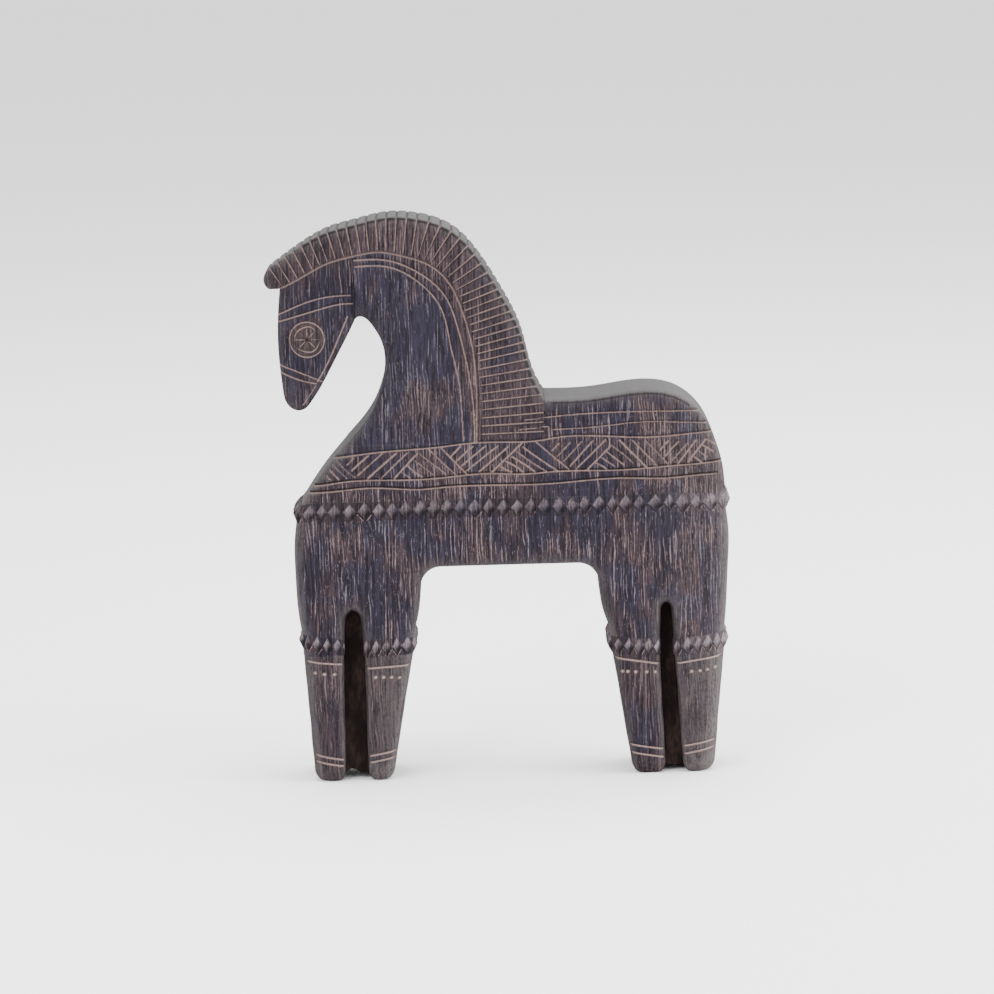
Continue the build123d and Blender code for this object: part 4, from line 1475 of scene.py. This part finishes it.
    def build_web(self, name: str, plan: LegPlan, notch: float) -> bpy.types.Object:
        """Wall in a slot, set back from both sides, with a lower edge that rises towards the front leg.

        Args:
            name: name of the piece.
            plan: plan of the legs that it parts.
            notch: how far the lower edge rises.

        Returns:
            The finished wall.
        """
        d = self.drawing
        top = d.sizes.knee_height + self.web_rise
        z = self.web_lift + (top - self.web_lift) * spread(self.web_reach, self.web_step)
        share = unit(z / d.sizes.knee_height)
        low = plan.foot[1] + (plan.knee[1] - plan.foot[1]) * share - self.web_overlap
        high = plan.foot[2] + (plan.knee[2] - plan.foot[2]) * share + self.web_overlap
        band = levels_band(z, low, high, np.linspace(0, 1, self.web_columns))
        x, height = band[..., 0], band[..., 1]
        foot = unit(1 - (height - self.web_lift) / 8)
        beside = x - low - self.notch_place
        width = np.where(beside < 0, *self.notch_widths)
        height = height + foot * (1.0 + notch * bell(beside, width))
        half = self.web_half - 0.6 * swell(x * 5, height * 2)
        near = np.stack((x + SHIFT, -half, height), axis=-1)[:, :, None]
        far = near * np.array([1.0, -1.0, 1.0])
        depth = np.linspace(0, 1, self.web_depth_points)[:, None]
        return box_shell(name, near + depth * (far - near))


def box_shell(name: str, solid: np.ndarray) -> bpy.types.Object:
    """Closed shell of the six outer sides of a block of points.

    Args:
        name: name of the piece.
        solid: places in rows along X, Z and Y.

    Returns:
        The finished object, with full painted shade all over, as deep in a slot.
    """
    sides = [solid[:, :, 0], solid[:, :, -1], solid[0], solid[-1], solid[:, 0], solid[:, -1]]
    points, faces, start = [], [], 0
    middle = solid.reshape(-1, 3).mean(axis=0)
    for side in sides:
        rows, columns = side.shape[:2]
        quads = grid_faces(start + np.arange(rows * columns).reshape(rows, columns))
        normal = np.cross(side[-1, 0] - side[0, 0], side[0, -1] - side[0, 0])
        if normal @ (side.reshape(-1, 3).mean(axis=0) - middle) < 0:
            quads = quads[:, ::-1]
        points.append(side.reshape(-1, 3))
        faces.append(quads)
        start += rows * columns
    everything = np.concatenate(points)
    first, welded = weld(everything)
    everything = everything[first]
    quads = welded[np.concatenate(faces)]
    plain = np.zeros(len(everything))
    marks = {"groove": plain, "wear_and_sheen": plain, "painted_shade": plain + 1}
    return make_object(name, everything, quads, marks)


@dataclass
class Rope:
    """Beaded rope of clay laid round a section: a flat band with a row of four-sided beads."""

    name: str
    low: float
    high: float
    half: float
    radii: tuple[float, float]
    bottom: float
    height: float
    pitch: float
    proud: float
    seed: float
    plain_way: int = 0
    points_per_bead: int = 16
    rows: int = 21
    section_counts: tuple[int, int, int] = (90, 12, 60)
    lie: float = 0.0
    band: float = 0.45
    back_depth: float = 0.8
    dip: float = 0.0
    lean: float = 0.0
    tilt: float = 0.0
    fringe: float = 0.85
    # Strength of the painted highlight on the upper left facets
    painted_highlight: float = 1.2

    def course(self) -> tuple[np.ndarray, np.ndarray, np.ndarray]:
        """Way of the rope round its section, with beads that differ a little in length.

        Returns:
            For each column of points its place, its way outwards and the number of its bead.
        """
        level = [np.array([value]) for value in (self.low, self.high, self.half)]
        radii = tuple(np.array([value]) for value in self.radii)
        ring = section_ring(*level, radii, self.section_counts)
        base = np.concatenate((ring.points[0], ring.points[0][:1]))
        outward = np.concatenate((ring.outward, ring.outward[:1]))
        walked = walk(base)
        beads = int(round(walked[-1] / self.pitch))
        count = np.arange(beads * self.points_per_bead)
        starts = np.arange(beads + 1) + 0.13 * shiver(np.arange(beads + 1) % beads, self.seed + 8)
        places = np.interp(count / self.points_per_bead, np.arange(beads + 1), starts)
        places = places / beads * walked[-1] % walked[-1]
        point = np.stack([np.interp(places, walked, base[:, axis]) for axis in (0, 1)], axis=1)
        way = np.stack([np.interp(places, walked, outward[:, axis]) for axis in (0, 1)], axis=1)
        return point, way / np.linalg.norm(way, axis=1)[:, None], count // self.points_per_bead

    def build(self) -> bpy.types.Object:
        """Builds the rope as a closed tube round the section.

        Along the rope each bead is a pyramid on a four-cornered base, 1 - |a| - |b| with a and b from -1 to 1
        across it, over a thin band. At the -X end the rope dips and its upper part leans back over the chest.

        Returns:
            The finished rope.
        """
        point, way, number = self.course()
        count = len(number)
        a = (np.arange(count) % self.points_per_bead / self.points_per_bead * 2 - 1)[:, None]
        b = np.linspace(-1, 1, self.rows)[None]
        middle = 0.14 * shiver(number, self.seed + 2)[:, None]
        size = 1 + 0.10 * shiver(number, self.seed + 6)[:, None]
        if self.plain_way:
            size = size * unit(1.6 - 2.4 * way[:, :1] * self.plain_way)
        edge = np.abs(a) + np.abs(b - middle * (1 - np.abs(a)))
        edge = edge / (0.97 + 0.05 * shiver(number, self.seed)[:, None])
        rim = unit((1 - np.abs(b)) * 6)
        offset = self.band * rim + self.proud * unit(1 - edge) * size - 0.2 * (1 - rim)
        x = point[:, 0]
        ahead = unit(-way[:, 0])
        lie = self.lie * (np.sin(x * 0.05 + self.seed) + 0.5 * np.sin(x * 0.13 + 2 * self.seed))
        lie = lie - self.dip * ahead + self.tilt * (2 * (x - self.low) / (self.high - self.low) - 1)
        z = self.bottom + self.height / 2 + b * self.height / 2 + lie[:, None] + 0 * a
        rows = np.concatenate((offset, np.full((count, 2), -self.back_depth)), axis=1)
        heights = np.concatenate((z, z[:, -2:-1], z[:, 1:2]), axis=1)
        rise = unit((heights - self.bottom) / self.height - 0.25)
        x = point[:, :1] + way[:, :1] * rows + self.lean * ahead[:, None] * rise**1.3
        y = point[:, 1:] + way[:, 1:] * rows
        points = np.stack((x + SHIFT, y, heights), axis=-1).reshape(-1, 3)
        table = np.arange(x.size).reshape(x.shape)
        along_rope = np.roll(table, -1, axis=0)
        both = np.roll(along_rope, -1, axis=1)
        faces = np.stack((table, along_rope, both, np.roll(table, -1, axis=1)), axis=-1).reshape(-1, 4)
        return make_object(self.name, points, faces, self.bead_marks(number, a, b - middle, b, edge))

    def bead_marks(self, number: np.ndarray, a: np.ndarray, rise: np.ndarray, b: np.ndarray,
                   edge: np.ndarray) -> dict[str, np.ndarray]:
        """Marks: pale patches above and below each bead, a painted highlight on the upper left facet, and
        painted shade on the lower facets, under the bead and in the upper gaps.

        Args:
            number: number of each column's bead.
            a: place along the bead, from -1 to 1.
            rise: place up the bead, over its own middle.
            b: place up the band, from -1 to 1.
            edge: 0 on the point of the bead and 1 on its outline.

        Returns:
            The marks by name, for every point of the tube.
        """
        inside = unit((1 - edge) * 9)
        ragged = 0.62 + 0.38 * shiver(number, self.seed + 9)[:, None]
        above = unit(0.5 + 0.5 * np.sin(number * 0.61 + self.seed))[:, None]
        # Painted shadow under each bead
        under = bell(edge - 1.08, 0.10) * (b < 0)
        pale = bell(edge - 1.28, 0.14) * (b < 0) * ragged
        pale = self.fringe * pale + 0.72 * (bell(edge - 1.10, 0.16) * (b > 0)) * above
        # Painted light on the facets, as if lit from the upper left: highlight upper left, shade lower right
        light = 0.5 * np.clip(rise * 2.4, -1, 1) - 0.5 * np.clip(a * 2.4, -1, 1)
        dark = inside * unit(-0.15 - 0.95 * light) + 0.7 * under
        dark = dark + 0.35 * (1 - inside) * (b > 0) * (1 - above)
        # Painted highlight stronger on some beads than on others
        worn = 0.45 + 0.55 * np.abs(shiver(number * 1.7, 4.0))[:, None]
        rubbed_and_lit = self.painted_highlight * inside * unit(0.34 + 0.8 * light) * worn
        back = np.zeros((len(number), 2))
        shown = {"groove": unit(pale + 0.25 * rubbed_and_lit), "wear_and_sheen": rubbed_and_lit, "painted_shade": unit(dark)}
        marks = {name: np.concatenate((values, back), axis=1).ravel() for name, values in shown.items()}
        marks["brown"] = np.full(marks["wear_and_sheen"].size, 0.05)
        return marks


@dataclass
class Ropes:
    """The rope round the trunk and the four round the knees."""

    drawing: Drawing
    legs: Legs
    girth_rope_drop: float = 12.4
    girth_rope_height: float = 12.6
    girth_pitch: float = 9.3
    girth_proud: float = 2.6
    knee_rope_height: float = 11.8
    knee_pitch: float = 6.9
    knee_proud: float = 2.4
    knee_bottoms: tuple[float, float, float, float] = (89.0, 86.4, 82.8, 82.6)
    knee_tilts: tuple[float, float, float, float] = (-1.8, 0.8, -1.2, 2.0)
    pieces: dict[str, bpy.types.Object] = field(default_factory=dict)

    def build(self) -> None:
        """Builds the five ropes."""
        d = self.drawing
        half = d.sizes.body_width / 2
        girth = Rope(
            "girth_rope_band", d.front_x, d.rear_x, half, (d.leg_outer_radius, d.leg_outer_radius),
            d.sizes.girth_height - self.girth_rope_drop, self.girth_rope_height, self.girth_pitch,
            self.girth_proud, 3.0, lie=0.25, dip=2.5, lean=6.0,
        )
        self.pieces["girth_rope"] = girth.build()
        for leg, (name, (plan, number, knee_radii, _)) in enumerate(self.legs.shanks().items()):
            rope = Rope(
                name + "_rope_band", plan.knee[2 * number], plan.knee[2 * number + 1], half, knee_radii,
                self.knee_bottoms[leg], self.knee_rope_height, self.knee_pitch, self.knee_proud, 11.0 + leg,
                plain_way=1 - 2 * number, points_per_bead=14, lie=0.15, tilt=self.knee_tilts[leg],
                fringe=1.1, painted_highlight=1.9,
            )
            self.pieces[name + "_knee_rope"] = rope.build()


# Finishes


class Flow:
    """Value of a socket in a material, which takes part in sums: each operation adds a Math node."""

    def __init__(self, bench: "Bench", socket: bpy.types.NodeSocket) -> None:
        """Keeps the socket and the bench whose material it is in."""
        self.bench = bench
        self.socket = socket

    def __add__(self, other: "Flow | float") -> "Flow":
        """This plus the other."""
        return self.bench.sum("ADD", self, other)

    def __radd__(self, other: "Flow | float") -> "Flow":
        """The other plus this."""
        return self.bench.sum("ADD", other, self)

    def __sub__(self, other: "Flow | float") -> "Flow":
        """This less the other."""
        return self.bench.sum("SUBTRACT", self, other)

    def __rsub__(self, other: "Flow | float") -> "Flow":
        """The other less this."""
        return self.bench.sum("SUBTRACT", other, self)

    def __mul__(self, other: "Flow | float") -> "Flow":
        """This times the other."""
        return self.bench.sum("MULTIPLY", self, other)

    def __rmul__(self, other: "Flow | float") -> "Flow":
        """The other times this."""
        return self.bench.sum("MULTIPLY", other, self)

    def peak(self, other: "Flow | float") -> "Flow":
        """The larger of the two."""
        return self.bench.sum("MAXIMUM", self, other)

    def over(self, level: float) -> "Flow":
        """1 where this is above the level, otherwise 0."""
        return self.bench.sum("GREATER_THAN", self, level)

    def floor(self) -> "Flow":
        """The whole number below this."""
        return self.bench.sum("FLOOR", self, 0.0)

    def size(self) -> "Flow":
        """This without its sign."""
        return self.bench.sum("ABSOLUTE", self, 0.0)

    def ramp(self, low: float, high: float) -> "Flow":
        """Smooth rise from 0 where this is low to 1 where it is high."""
        inputs = {"Value": self, "From Min": low, "From Max": high}
        return self.bench.node("ShaderNodeMapRange", {"interpolation_type": "SMOOTHSTEP"}, inputs, "Result")


class Bench:
    """Material under construction: one method adds any node, the rest are the few mixes it needs."""

    specular = 0.07

    def __init__(self, name: str) -> None:
        """Starts a material with a shader and its output."""
        self.material = bpy.data.materials.new(name)
        self.material.use_nodes = True
        self.tree = self.material.node_tree
        self.tree.nodes.clear()
        self.shader = self.tree.nodes.new("ShaderNodeBsdfPrincipled")
        output = self.tree.nodes.new("ShaderNodeOutputMaterial")
        self.tree.links.new(self.shader.outputs["BSDF"], output.inputs["Surface"])

    def node(self, kind: str, settings: dict, inputs: dict, output: str | int = 0) -> Flow:
        """Adds a node.

        Args:
            kind: type of the node.
            settings: properties of the node, set first.
            inputs: values or links of its sockets, by name or number.
            output: which of its outputs is handed back.

        Returns:
            The flow out of that output.
        """
        made = self.tree.nodes.new(kind)
        for name, value in settings.items():
            setattr(made, name, value)
        for name, value in inputs.items():
            self.set(made.inputs[name], value)
        return Flow(self, made.outputs[output])

    def set(self, socket: bpy.types.NodeSocket, value: "Flow | float | tuple") -> None:
        """Links a flow to a socket, or sets the socket's own value."""
        if isinstance(value, Flow):
            self.tree.links.new(value.socket, socket)
        else:
            socket.default_value = value

    def sum(self, operation: str, first: "Flow | float", second: "Flow | float") -> Flow:
        """Math node on two numbers."""
        return self.node("ShaderNodeMath", {"operation": operation}, {0: first, 1: second})

    def colour_mix(self, factor: "Flow | float", first: "Flow | tuple", second: "Flow | tuple") -> Flow:
        """Colour between the first, at factor 0, and the second, at factor 1."""
        made = self.tree.nodes.new("ShaderNodeMix")
        made.data_type = "RGBA"
        made.clamp_factor = True
        for socket, value in ((made.inputs[0], factor), (made.inputs[6], first), (made.inputs[7], second)):
            self.set(socket, (*value, 1.0) if isinstance(value, tuple) else value)
        return Flow(self, made.outputs[2])

    def place(self) -> Flow:
        """Place on the finished object, in metres."""
        return self.node("ShaderNodeTexCoord", {}, {}, "Object")

    def stretched(self, place: Flow, scale: tuple[float, float, float],
                  offset: tuple = (0.0, 0.0, 0.0)) -> Flow:
        """Place times a scale for each axis, in pattern units per millimetre, plus an offset."""
        metric = tuple(value / METRES for value in scale)
        scaled = self.node("ShaderNodeVectorMath", {"operation": "MULTIPLY"}, {0: place, 1: metric}, "Vector")
        return self.node("ShaderNodeVectorMath", {"operation": "ADD"}, {0: scaled, 1: offset}, "Vector")

    def parts(self, place: Flow) -> tuple[Flow, Flow, Flow]:
        """The three coordinates of a place, in millimetres."""
        metric = self.stretched(place, (1.0, 1.0, 1.0))
        return tuple(self.node("ShaderNodeSeparateXYZ", {}, {0: metric}, axis) for axis in "XYZ")

    def vector(self, x: "Flow | float", y: "Flow | float", z: "Flow | float" = 0.0) -> Flow:
        """Vector of three numbers."""
        return self.node("ShaderNodeCombineXYZ", {}, {"X": x, "Y": y, "Z": z}, "Vector")

    def noise(self, vector: Flow, detail: float = 2.0, roughness: float = 0.5) -> Flow:
        """Cloudy pattern of about one blotch per unit of the vector."""
        inputs = {"Vector": vector, "Scale": 1.0, "Detail": detail, "Roughness": roughness}
        return self.node("ShaderNodeTexNoise", {"noise_dimensions": "3D"}, inputs, "Fac")

    def mark(self, name: str) -> Flow:
        """Number that the piece's mesh holds for each point."""
        return self.node("ShaderNodeAttribute", {"attribute_name": name}, {}, "Fac")

    def finish(self, colour: Flow, roughness: Flow, height: Flow, distance: float) -> bpy.types.Material:
        """Joins colour, roughness and bump to the shader.

        Args:
            colour: base colour.
            roughness: roughness.
            height: height of the fine relief, from about 0 to 1.
            distance: height in metres that one unit of relief stands for.

        Returns:
            The finished material.
        """
        relief = {"Height": height, "Distance": distance, "Strength": 1.0}
        bump = self.node("ShaderNodeBump", {}, relief, "Normal")
        self.set(self.shader.inputs["Specular IOR Level"], self.specular)
        self.set(self.shader.inputs["Base Color"], colour)
        self.set(self.shader.inputs["Roughness"], roughness)
        self.set(self.shader.inputs["Normal"], bump)
        return self.material


@dataclass(frozen=True)
class CombRow:
    """One pass of the comb: spacing and width of its teeth, length of the marks, how they lean and lie."""

    pitch: float
    width: float
    reach: float
    lean: float
    seed: float
    sparse: float

    def marks(self, b: Bench, across: Flow, height: Flow, crowd: "Flow | float") -> Flow:
        """Dashes in upright rows one pitch apart.

        In each row a cloud along the height, another one in every row, is cut off at a level. What stays is a
        dash, as wide as its share of the row where the cloud is thick, that tapers to nothing at both ends.

        Args:
            b: bench of the material.
            across: place across the teeth, in millimetres.
            height: height in millimetres.
            crowd: how much closer together the dashes lie here, about -0.3 to 0.3.

        Returns:
            1 in the dashes and 0 between them.
        """
        tooth = across * (1 / self.pitch) + height * (self.lean / self.pitch)
        number = tooth.floor()
        inside = 1 - (tooth - number - 0.5).size() * 2
        cloud = b.noise(b.vector(number * 7.31 + self.seed, height * (1 / self.reach)), 2.5, 0.6)
        thick = (cloud + crowd).ramp(self.sparse, self.sparse + 0.12)
        return (inside * (0.75 + 0.25 * thick)).ramp(0.80 - self.width, 1.04 - self.width) * thick


@dataclass(frozen=True)
class CombedClay:
    """Dark slip over pale clay, combed from top to bottom so that the clay shows in the scratches."""

    name: str = "combed_clay"
    deep: tuple[float, float, float] = (0.0056, 0.0042, 0.0062)
    indigo: tuple[float, float, float] = (0.0155, 0.0130, 0.0230)
    brown: tuple[float, float, float] = (0.0270, 0.0180, 0.0215)
    cool_clay: tuple[float, float, float] = (0.104, 0.090, 0.106)
    warm_clay: tuple[float, float, float] = (0.125, 0.088, 0.090)
    line: tuple[float, float, float] = (0.124, 0.084, 0.076)
    pale_line: tuple[float, float, float] = (0.215, 0.165, 0.162)
    # Pale of wear together with painted sheen and painted light
    rubbed_and_lit: tuple[float, float, float] = (0.062, 0.053, 0.053)
    # Light grey of top faces: painted sheen of the bright surroundings
    crown: tuple[float, float, float] = (0.066, 0.065, 0.064)
    # Colour of the painted shade in creases, slots, beside grooves and under beads
    painted_shade_colour: tuple[float, float, float] = (0.0022, 0.0016, 0.0016)
    bold: CombRow = CombRow(3.4, 0.12, 44.0, -0.015, 11.0, 0.50)
    fine: CombRow = CombRow(2.0, 0.22, 24.0, 0.012, 3.0, 0.475)
    nicks: CombRow = CombRow(1.3, 0.36, 3.4, 0.03, 19.0, 0.54)
    scratch_amount: float = 1.0
    rubbed_and_lit_amount: float = 0.6
    top_sheen_amount: float = 0.8
    ragged: float = 0.45
    relief: float = 0.00045

    def make(self) -> bpy.types.Material:
        """Makes the material.

        Fine upright streaks shade the slip, three passes of a comb scratch it, more so towards the rump, and
        slow clouds say where it is brown. Edges are paled by wear together with painted sheen, the rump also
        by painted light from +X, top faces by a painted sheen, and the painted shade mark darkens creases,
        slots and bead undersides. The way that the surface faces tells which coordinate runs across the
        teeth, and spares the top faces.

        Returns:
            The material.
        """
        b = Bench(self.name)
        place = b.place()
        x, y, z = b.parts(place)
        blotch = b.noise(b.stretched(place, (0.050, 0.050, 0.030), (5.0, 2.0, 1.0)), 4.0, 0.6)
        patch = b.noise(b.stretched(place, (0.026, 0.026, 0.022), (3.0, 1.0, 7.0)), 1.5, 0.5)
        grain = b.noise(b.stretched(place, (0.9, 0.9, 0.45), (1.0, 6.0, 3.0)), 3.0, 0.7)
        waver = b.noise(b.stretched(place, (0.10, 0.10, 0.030), (8.0, 3.0, 2.0)), 2.0, 0.6)
        ends = b.mark("ends").over(0.5)
        upward = b.mark("upward")
        wear_and_sheen = b.mark("wear_and_sheen")
        across = x + (y - x) * ends + (waver - 0.5) * 5.0
        rear = x.ramp(80.0, 150.0)
        worn = blotch + b.mark("brown")
        crowd = (patch - 0.5) * 0.26 + (worn - 0.5) * 0.10 + 0.05 * rear - 0.10 * wear_and_sheen
        bold = self.bold.marks(b, across, z, crowd)
        fine = self.fine.marks(b, across, z, crowd)
        nicks = self.nicks.marks(b, across, z, crowd)
        streak = b.noise(b.vector(across * 0.85, z * 0.035, patch * 3), 4.0, 0.7)
        level = 1 - upward.ramp(0.45, 0.8)
        scratch = bold.peak(fine * 0.62).peak(nicks * 0.42) * level * b.mark("combed") * self.scratch_amount
        slip = b.colour_mix((worn + (patch - 0.5) * 0.4).ramp(0.42, 0.60), self.indigo, self.brown)
        shade = b.colour_mix((streak + (grain - 0.5) * 0.22).ramp(0.38, 0.62), self.deep, slip)
        bright = 0.40 + 0.70 * grain.ramp(0.32, 0.62)
        clay = b.colour_mix(worn.ramp(0.36, 0.60), self.cool_clay, self.warm_clay)
        colour = b.colour_mix(scratch * bright, shade, clay)
        uneven = (grain * 0.5 + streak * 0.5).ramp(0.34, 0.64)
        # Paler edges and rump: wear with painted sheen, and towards the rump painted light from +X
        rubbed_and_lit = (wear_and_sheen + 0.30 * rear) * (0.20 + 0.90 * uneven) * self.rubbed_and_lit_amount
        colour = b.colour_mix(rubbed_and_lit, colour, self.rubbed_and_lit)
        # Top faces lighter grey: painted sheen of the bright surroundings
        top = upward.ramp(0.35, 0.9)
        colour = b.colour_mix(top * (0.45 + 0.8 * grain) * self.top_sheen_amount, colour, self.crown)
        groove = b.mark("groove")
        cut = (groove + (grain - 0.5) * self.ragged).ramp(0.48, 0.80) * (1 - 0.6 * top)
        line = b.colour_mix(groove.ramp(0.9, 1.4), self.line, self.pale_line)
        colour = b.colour_mix(cut * (0.40 + 0.95 * grain), colour, line)
        # Painted shade in creases, slots, beside grooves and under beads
        painted_shade = b.mark("painted_shade")
        colour = b.colour_mix(painted_shade.ramp(0.0, 0.9), colour, self.painted_shade_colour)
        roughness = 0.55 + 0.18 * grain + 0.15 * scratch + 0.1 * painted_shade
        height = 0.40 * grain + 0.45 * streak - 0.70 * scratch
        return b.finish(colour, roughness, height, self.relief)


@dataclass(frozen=True)
class SlotClay:
    """Brown-black clay deep in the slots, rough and matt."""

    name: str = "slot_clay"
    dark: tuple[float, float, float] = (0.0055, 0.0034, 0.0032)
    brown: tuple[float, float, float] = (0.0240, 0.0140, 0.0125)
    relief: float = 0.0003

    def make(self) -> bpy.types.Material:
        """Makes the material from two clouds, slow and quick, that lighten it to brown."""
        b = Bench(self.name)
        place = b.place()
        slow = b.noise(b.stretched(place, (0.08, 0.08, 0.03)), 3.0, 0.6)
        quick = b.noise(b.stretched(place, (0.9, 0.9, 0.25)), 3.0, 0.7)
        colour = b.colour_mix((slow + (quick - 0.5) * 0.5).ramp(0.45, 0.75), self.dark, self.brown)
        roughness = 0.75 + 0.15 * quick
        return b.finish(colour, roughness, quick, self.relief)


@dataclass(frozen=True)
class Paper:
    """Pale matt paper with faint clouds."""

    name: str = "studio_floor_paper"
    pale: tuple[float, float, float] = (0.90, 0.90, 0.90)
    cloudy: tuple[float, float, float] = (0.88, 0.88, 0.88)
    relief: float = 0.00002

    def make(self) -> bpy.types.Material:
        """Makes the material from one slow cloud."""
        b = Bench(self.name)
        cloud = b.noise(b.stretched(b.place(), (0.01, 0.01, 0.01)), 2.0)
        colour = b.colour_mix(cloud * 0.3, self.pale, self.cloudy)
        return b.finish(colour, 0.85 + 0.05 * cloud, cloud, self.relief)


@dataclass(frozen=True)
class Panel:
    """Square soft light: its name, its place in metres, its side in metres and its power in watts."""

    name: str
    place: tuple[float, float, float]
    side: float
    power: float


@dataclass
class Studio:
    """Camera, soft light and pale floor."""

    distance: float = 3.0
    aim: tuple[float, float, float] = (-0.0018, 0.0, 0.1869)
    elevation: float = 9.0
    roll: float = 1.6
    lens: float = 161.56
    sensor: float = 36.0
    far_limit: float = 100.0
    air_strength: float = 1.8
    floor_radii: tuple[float, float, float, float] = (0.05, 1.0, 5.0, 25.0)
    floor_drop: float = 0.05
    panels: tuple[Panel, ...] = (
        Panel("key_panel", (-1.7, -2.3, 1.9), 2.2, 120.0),
        Panel("fill_panel", (2.2, -1.9, 1.0), 2.0, 60.0),
        Panel("rim_panel", (3.0, -0.5, 0.8), 1.8, 220.0),
        Panel("top_panel", (0.2, 0.5, 2.6), 2.4, 120.0),
    )

    def build(self) -> None:
        """Sets up the camera, the lights and the floor."""
        self.place_camera()
        for panel in self.panels:
            self.place_panel(panel)
        world = bpy.data.worlds.new("studio_air")
        bpy.context.scene.world = world
        world.use_nodes = True
        background = world.node_tree.nodes["Background"]
        background.inputs["Color"].default_value = (1.0, 1.0, 1.0, 1.0)
        background.inputs["Strength"].default_value = self.air_strength
        self.place_floor()

    def place_camera(self) -> None:
        """Camera at the photo's angle, aimed at the middle of the horse, rolled a little."""
        data = bpy.data.cameras.new("photo_camera")
        data.lens = self.lens
        data.sensor_width = self.sensor
        data.clip_end = self.far_limit
        camera = bpy.data.objects.new("photo_camera", data)
        bpy.context.scene.collection.objects.link(camera)
        rise, turn = math.radians(self.elevation), math.radians(self.roll)
        ahead = Vector((0.0, math.cos(rise), -math.sin(rise)))
        level, upward = Vector((1.0, 0.0, 0.0)), Vector((0.0, math.sin(rise), math.cos(rise)))
        right = level * math.cos(turn) - upward * math.sin(turn)
        up = level * math.sin(turn) + upward * math.cos(turn)
        matrix = Matrix((right, up, -ahead)).transposed().to_4x4()
        matrix.translation = Vector(self.aim) - ahead * self.distance
        camera.matrix_world = matrix
        bpy.context.scene.camera = camera

    def place_panel(self, panel: Panel) -> None:
        """Square soft light aimed at the middle of the horse."""
        data = bpy.data.lights.new(panel.name, "AREA")
        data.size = panel.side
        data.energy = panel.power
        lamp = bpy.data.objects.new(panel.name, data)
        lamp.location = panel.place
        way = Vector(self.aim) - Vector(panel.place)
        lamp.rotation_euler = way.to_track_quat("-Z", "Y").to_euler()
        bpy.context.scene.collection.objects.link(lamp)

    def place_floor(self) -> None:
        """Large pale floor: level rings of points, wider and wider."""
        angle = np.linspace(0, FULL_TURN, 64, endpoint=False)
        radius = np.array(self.floor_radii)[:, None] / METRES
        x, y = radius * np.cos(angle), radius * np.sin(angle)
        points = np.stack((x, y, 0 * x - self.floor_drop), axis=-1).reshape(-1, 3)
        table = np.arange(x.size).reshape(x.shape)
        faces = np.concatenate((ring_faces(table, False), cap_faces(table[0])[:, ::-1]))
        floor = make_object("studio_floor", points, faces, {})
        floor.data.materials.append(Paper().make())
        floor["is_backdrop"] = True


def dress(piece: bpy.types.Object, material: bpy.types.Material, node: str, slot: Slot) -> None:
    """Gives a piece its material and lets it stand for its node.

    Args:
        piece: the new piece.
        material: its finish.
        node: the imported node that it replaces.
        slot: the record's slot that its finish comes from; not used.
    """
    piece.data.materials.clear()
    piece.data.materials.append(material)
    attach(piece, "root")
    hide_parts(node)
    log.info("%s stands for %s with %d faces", piece.name, node, len(piece.data.polygons))


def main() -> None:
    """Builds the sub-assemblies in order, dresses them and sets up the studio."""
    drawing = Drawing()
    trunk = Trunk(drawing)
    neck_and_head = NeckAndHead(drawing)
    legs = Legs(drawing)
    ropes = Ropes(drawing, legs)
    slots = {entry["node"]: Slot(entry["material_slot"]) for entry in frame["record"]["subparts"]}
    finishes = {
        Slot.COMBED: CombedClay(Slot.COMBED.value).make(),
        # Ropes: strong pale for wear with the painted bead highlight, and little painted top sheen
        Slot.ROPE: CombedClay(Slot.ROPE.value, rubbed_and_lit=(0.122, 0.100, 0.110), scratch_amount=0.35,
                              rubbed_and_lit_amount=1.0, top_sheen_amount=0.1, ragged=1.2).make(),
        Slot.EYE: CombedClay(Slot.EYE.value, indigo=(0.0210, 0.0145, 0.0160), brown=(0.0300, 0.0195, 0.0195),
                             scratch_amount=0.35).make(),
        Slot.HOLLOW: SlotClay(Slot.HOLLOW.value).make(),
    }
    for assembly in (trunk, neck_and_head, legs, ropes):
        assembly.build()
        for node, piece in assembly.pieces.items():
            dress(piece, finishes[slots[node]], node, slots[node])
    Studio().build()
    low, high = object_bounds()
    boxes = {"solids": [list(map(float, corner)) for corner in SOLIDS_BOX],
             "looks": [list(map(float, corner)) for corner in (low, high)]}
    log.info("solids %s, looks %s", boxes["solids"], boxes["looks"])


if __name__ == "__main__":
    main()
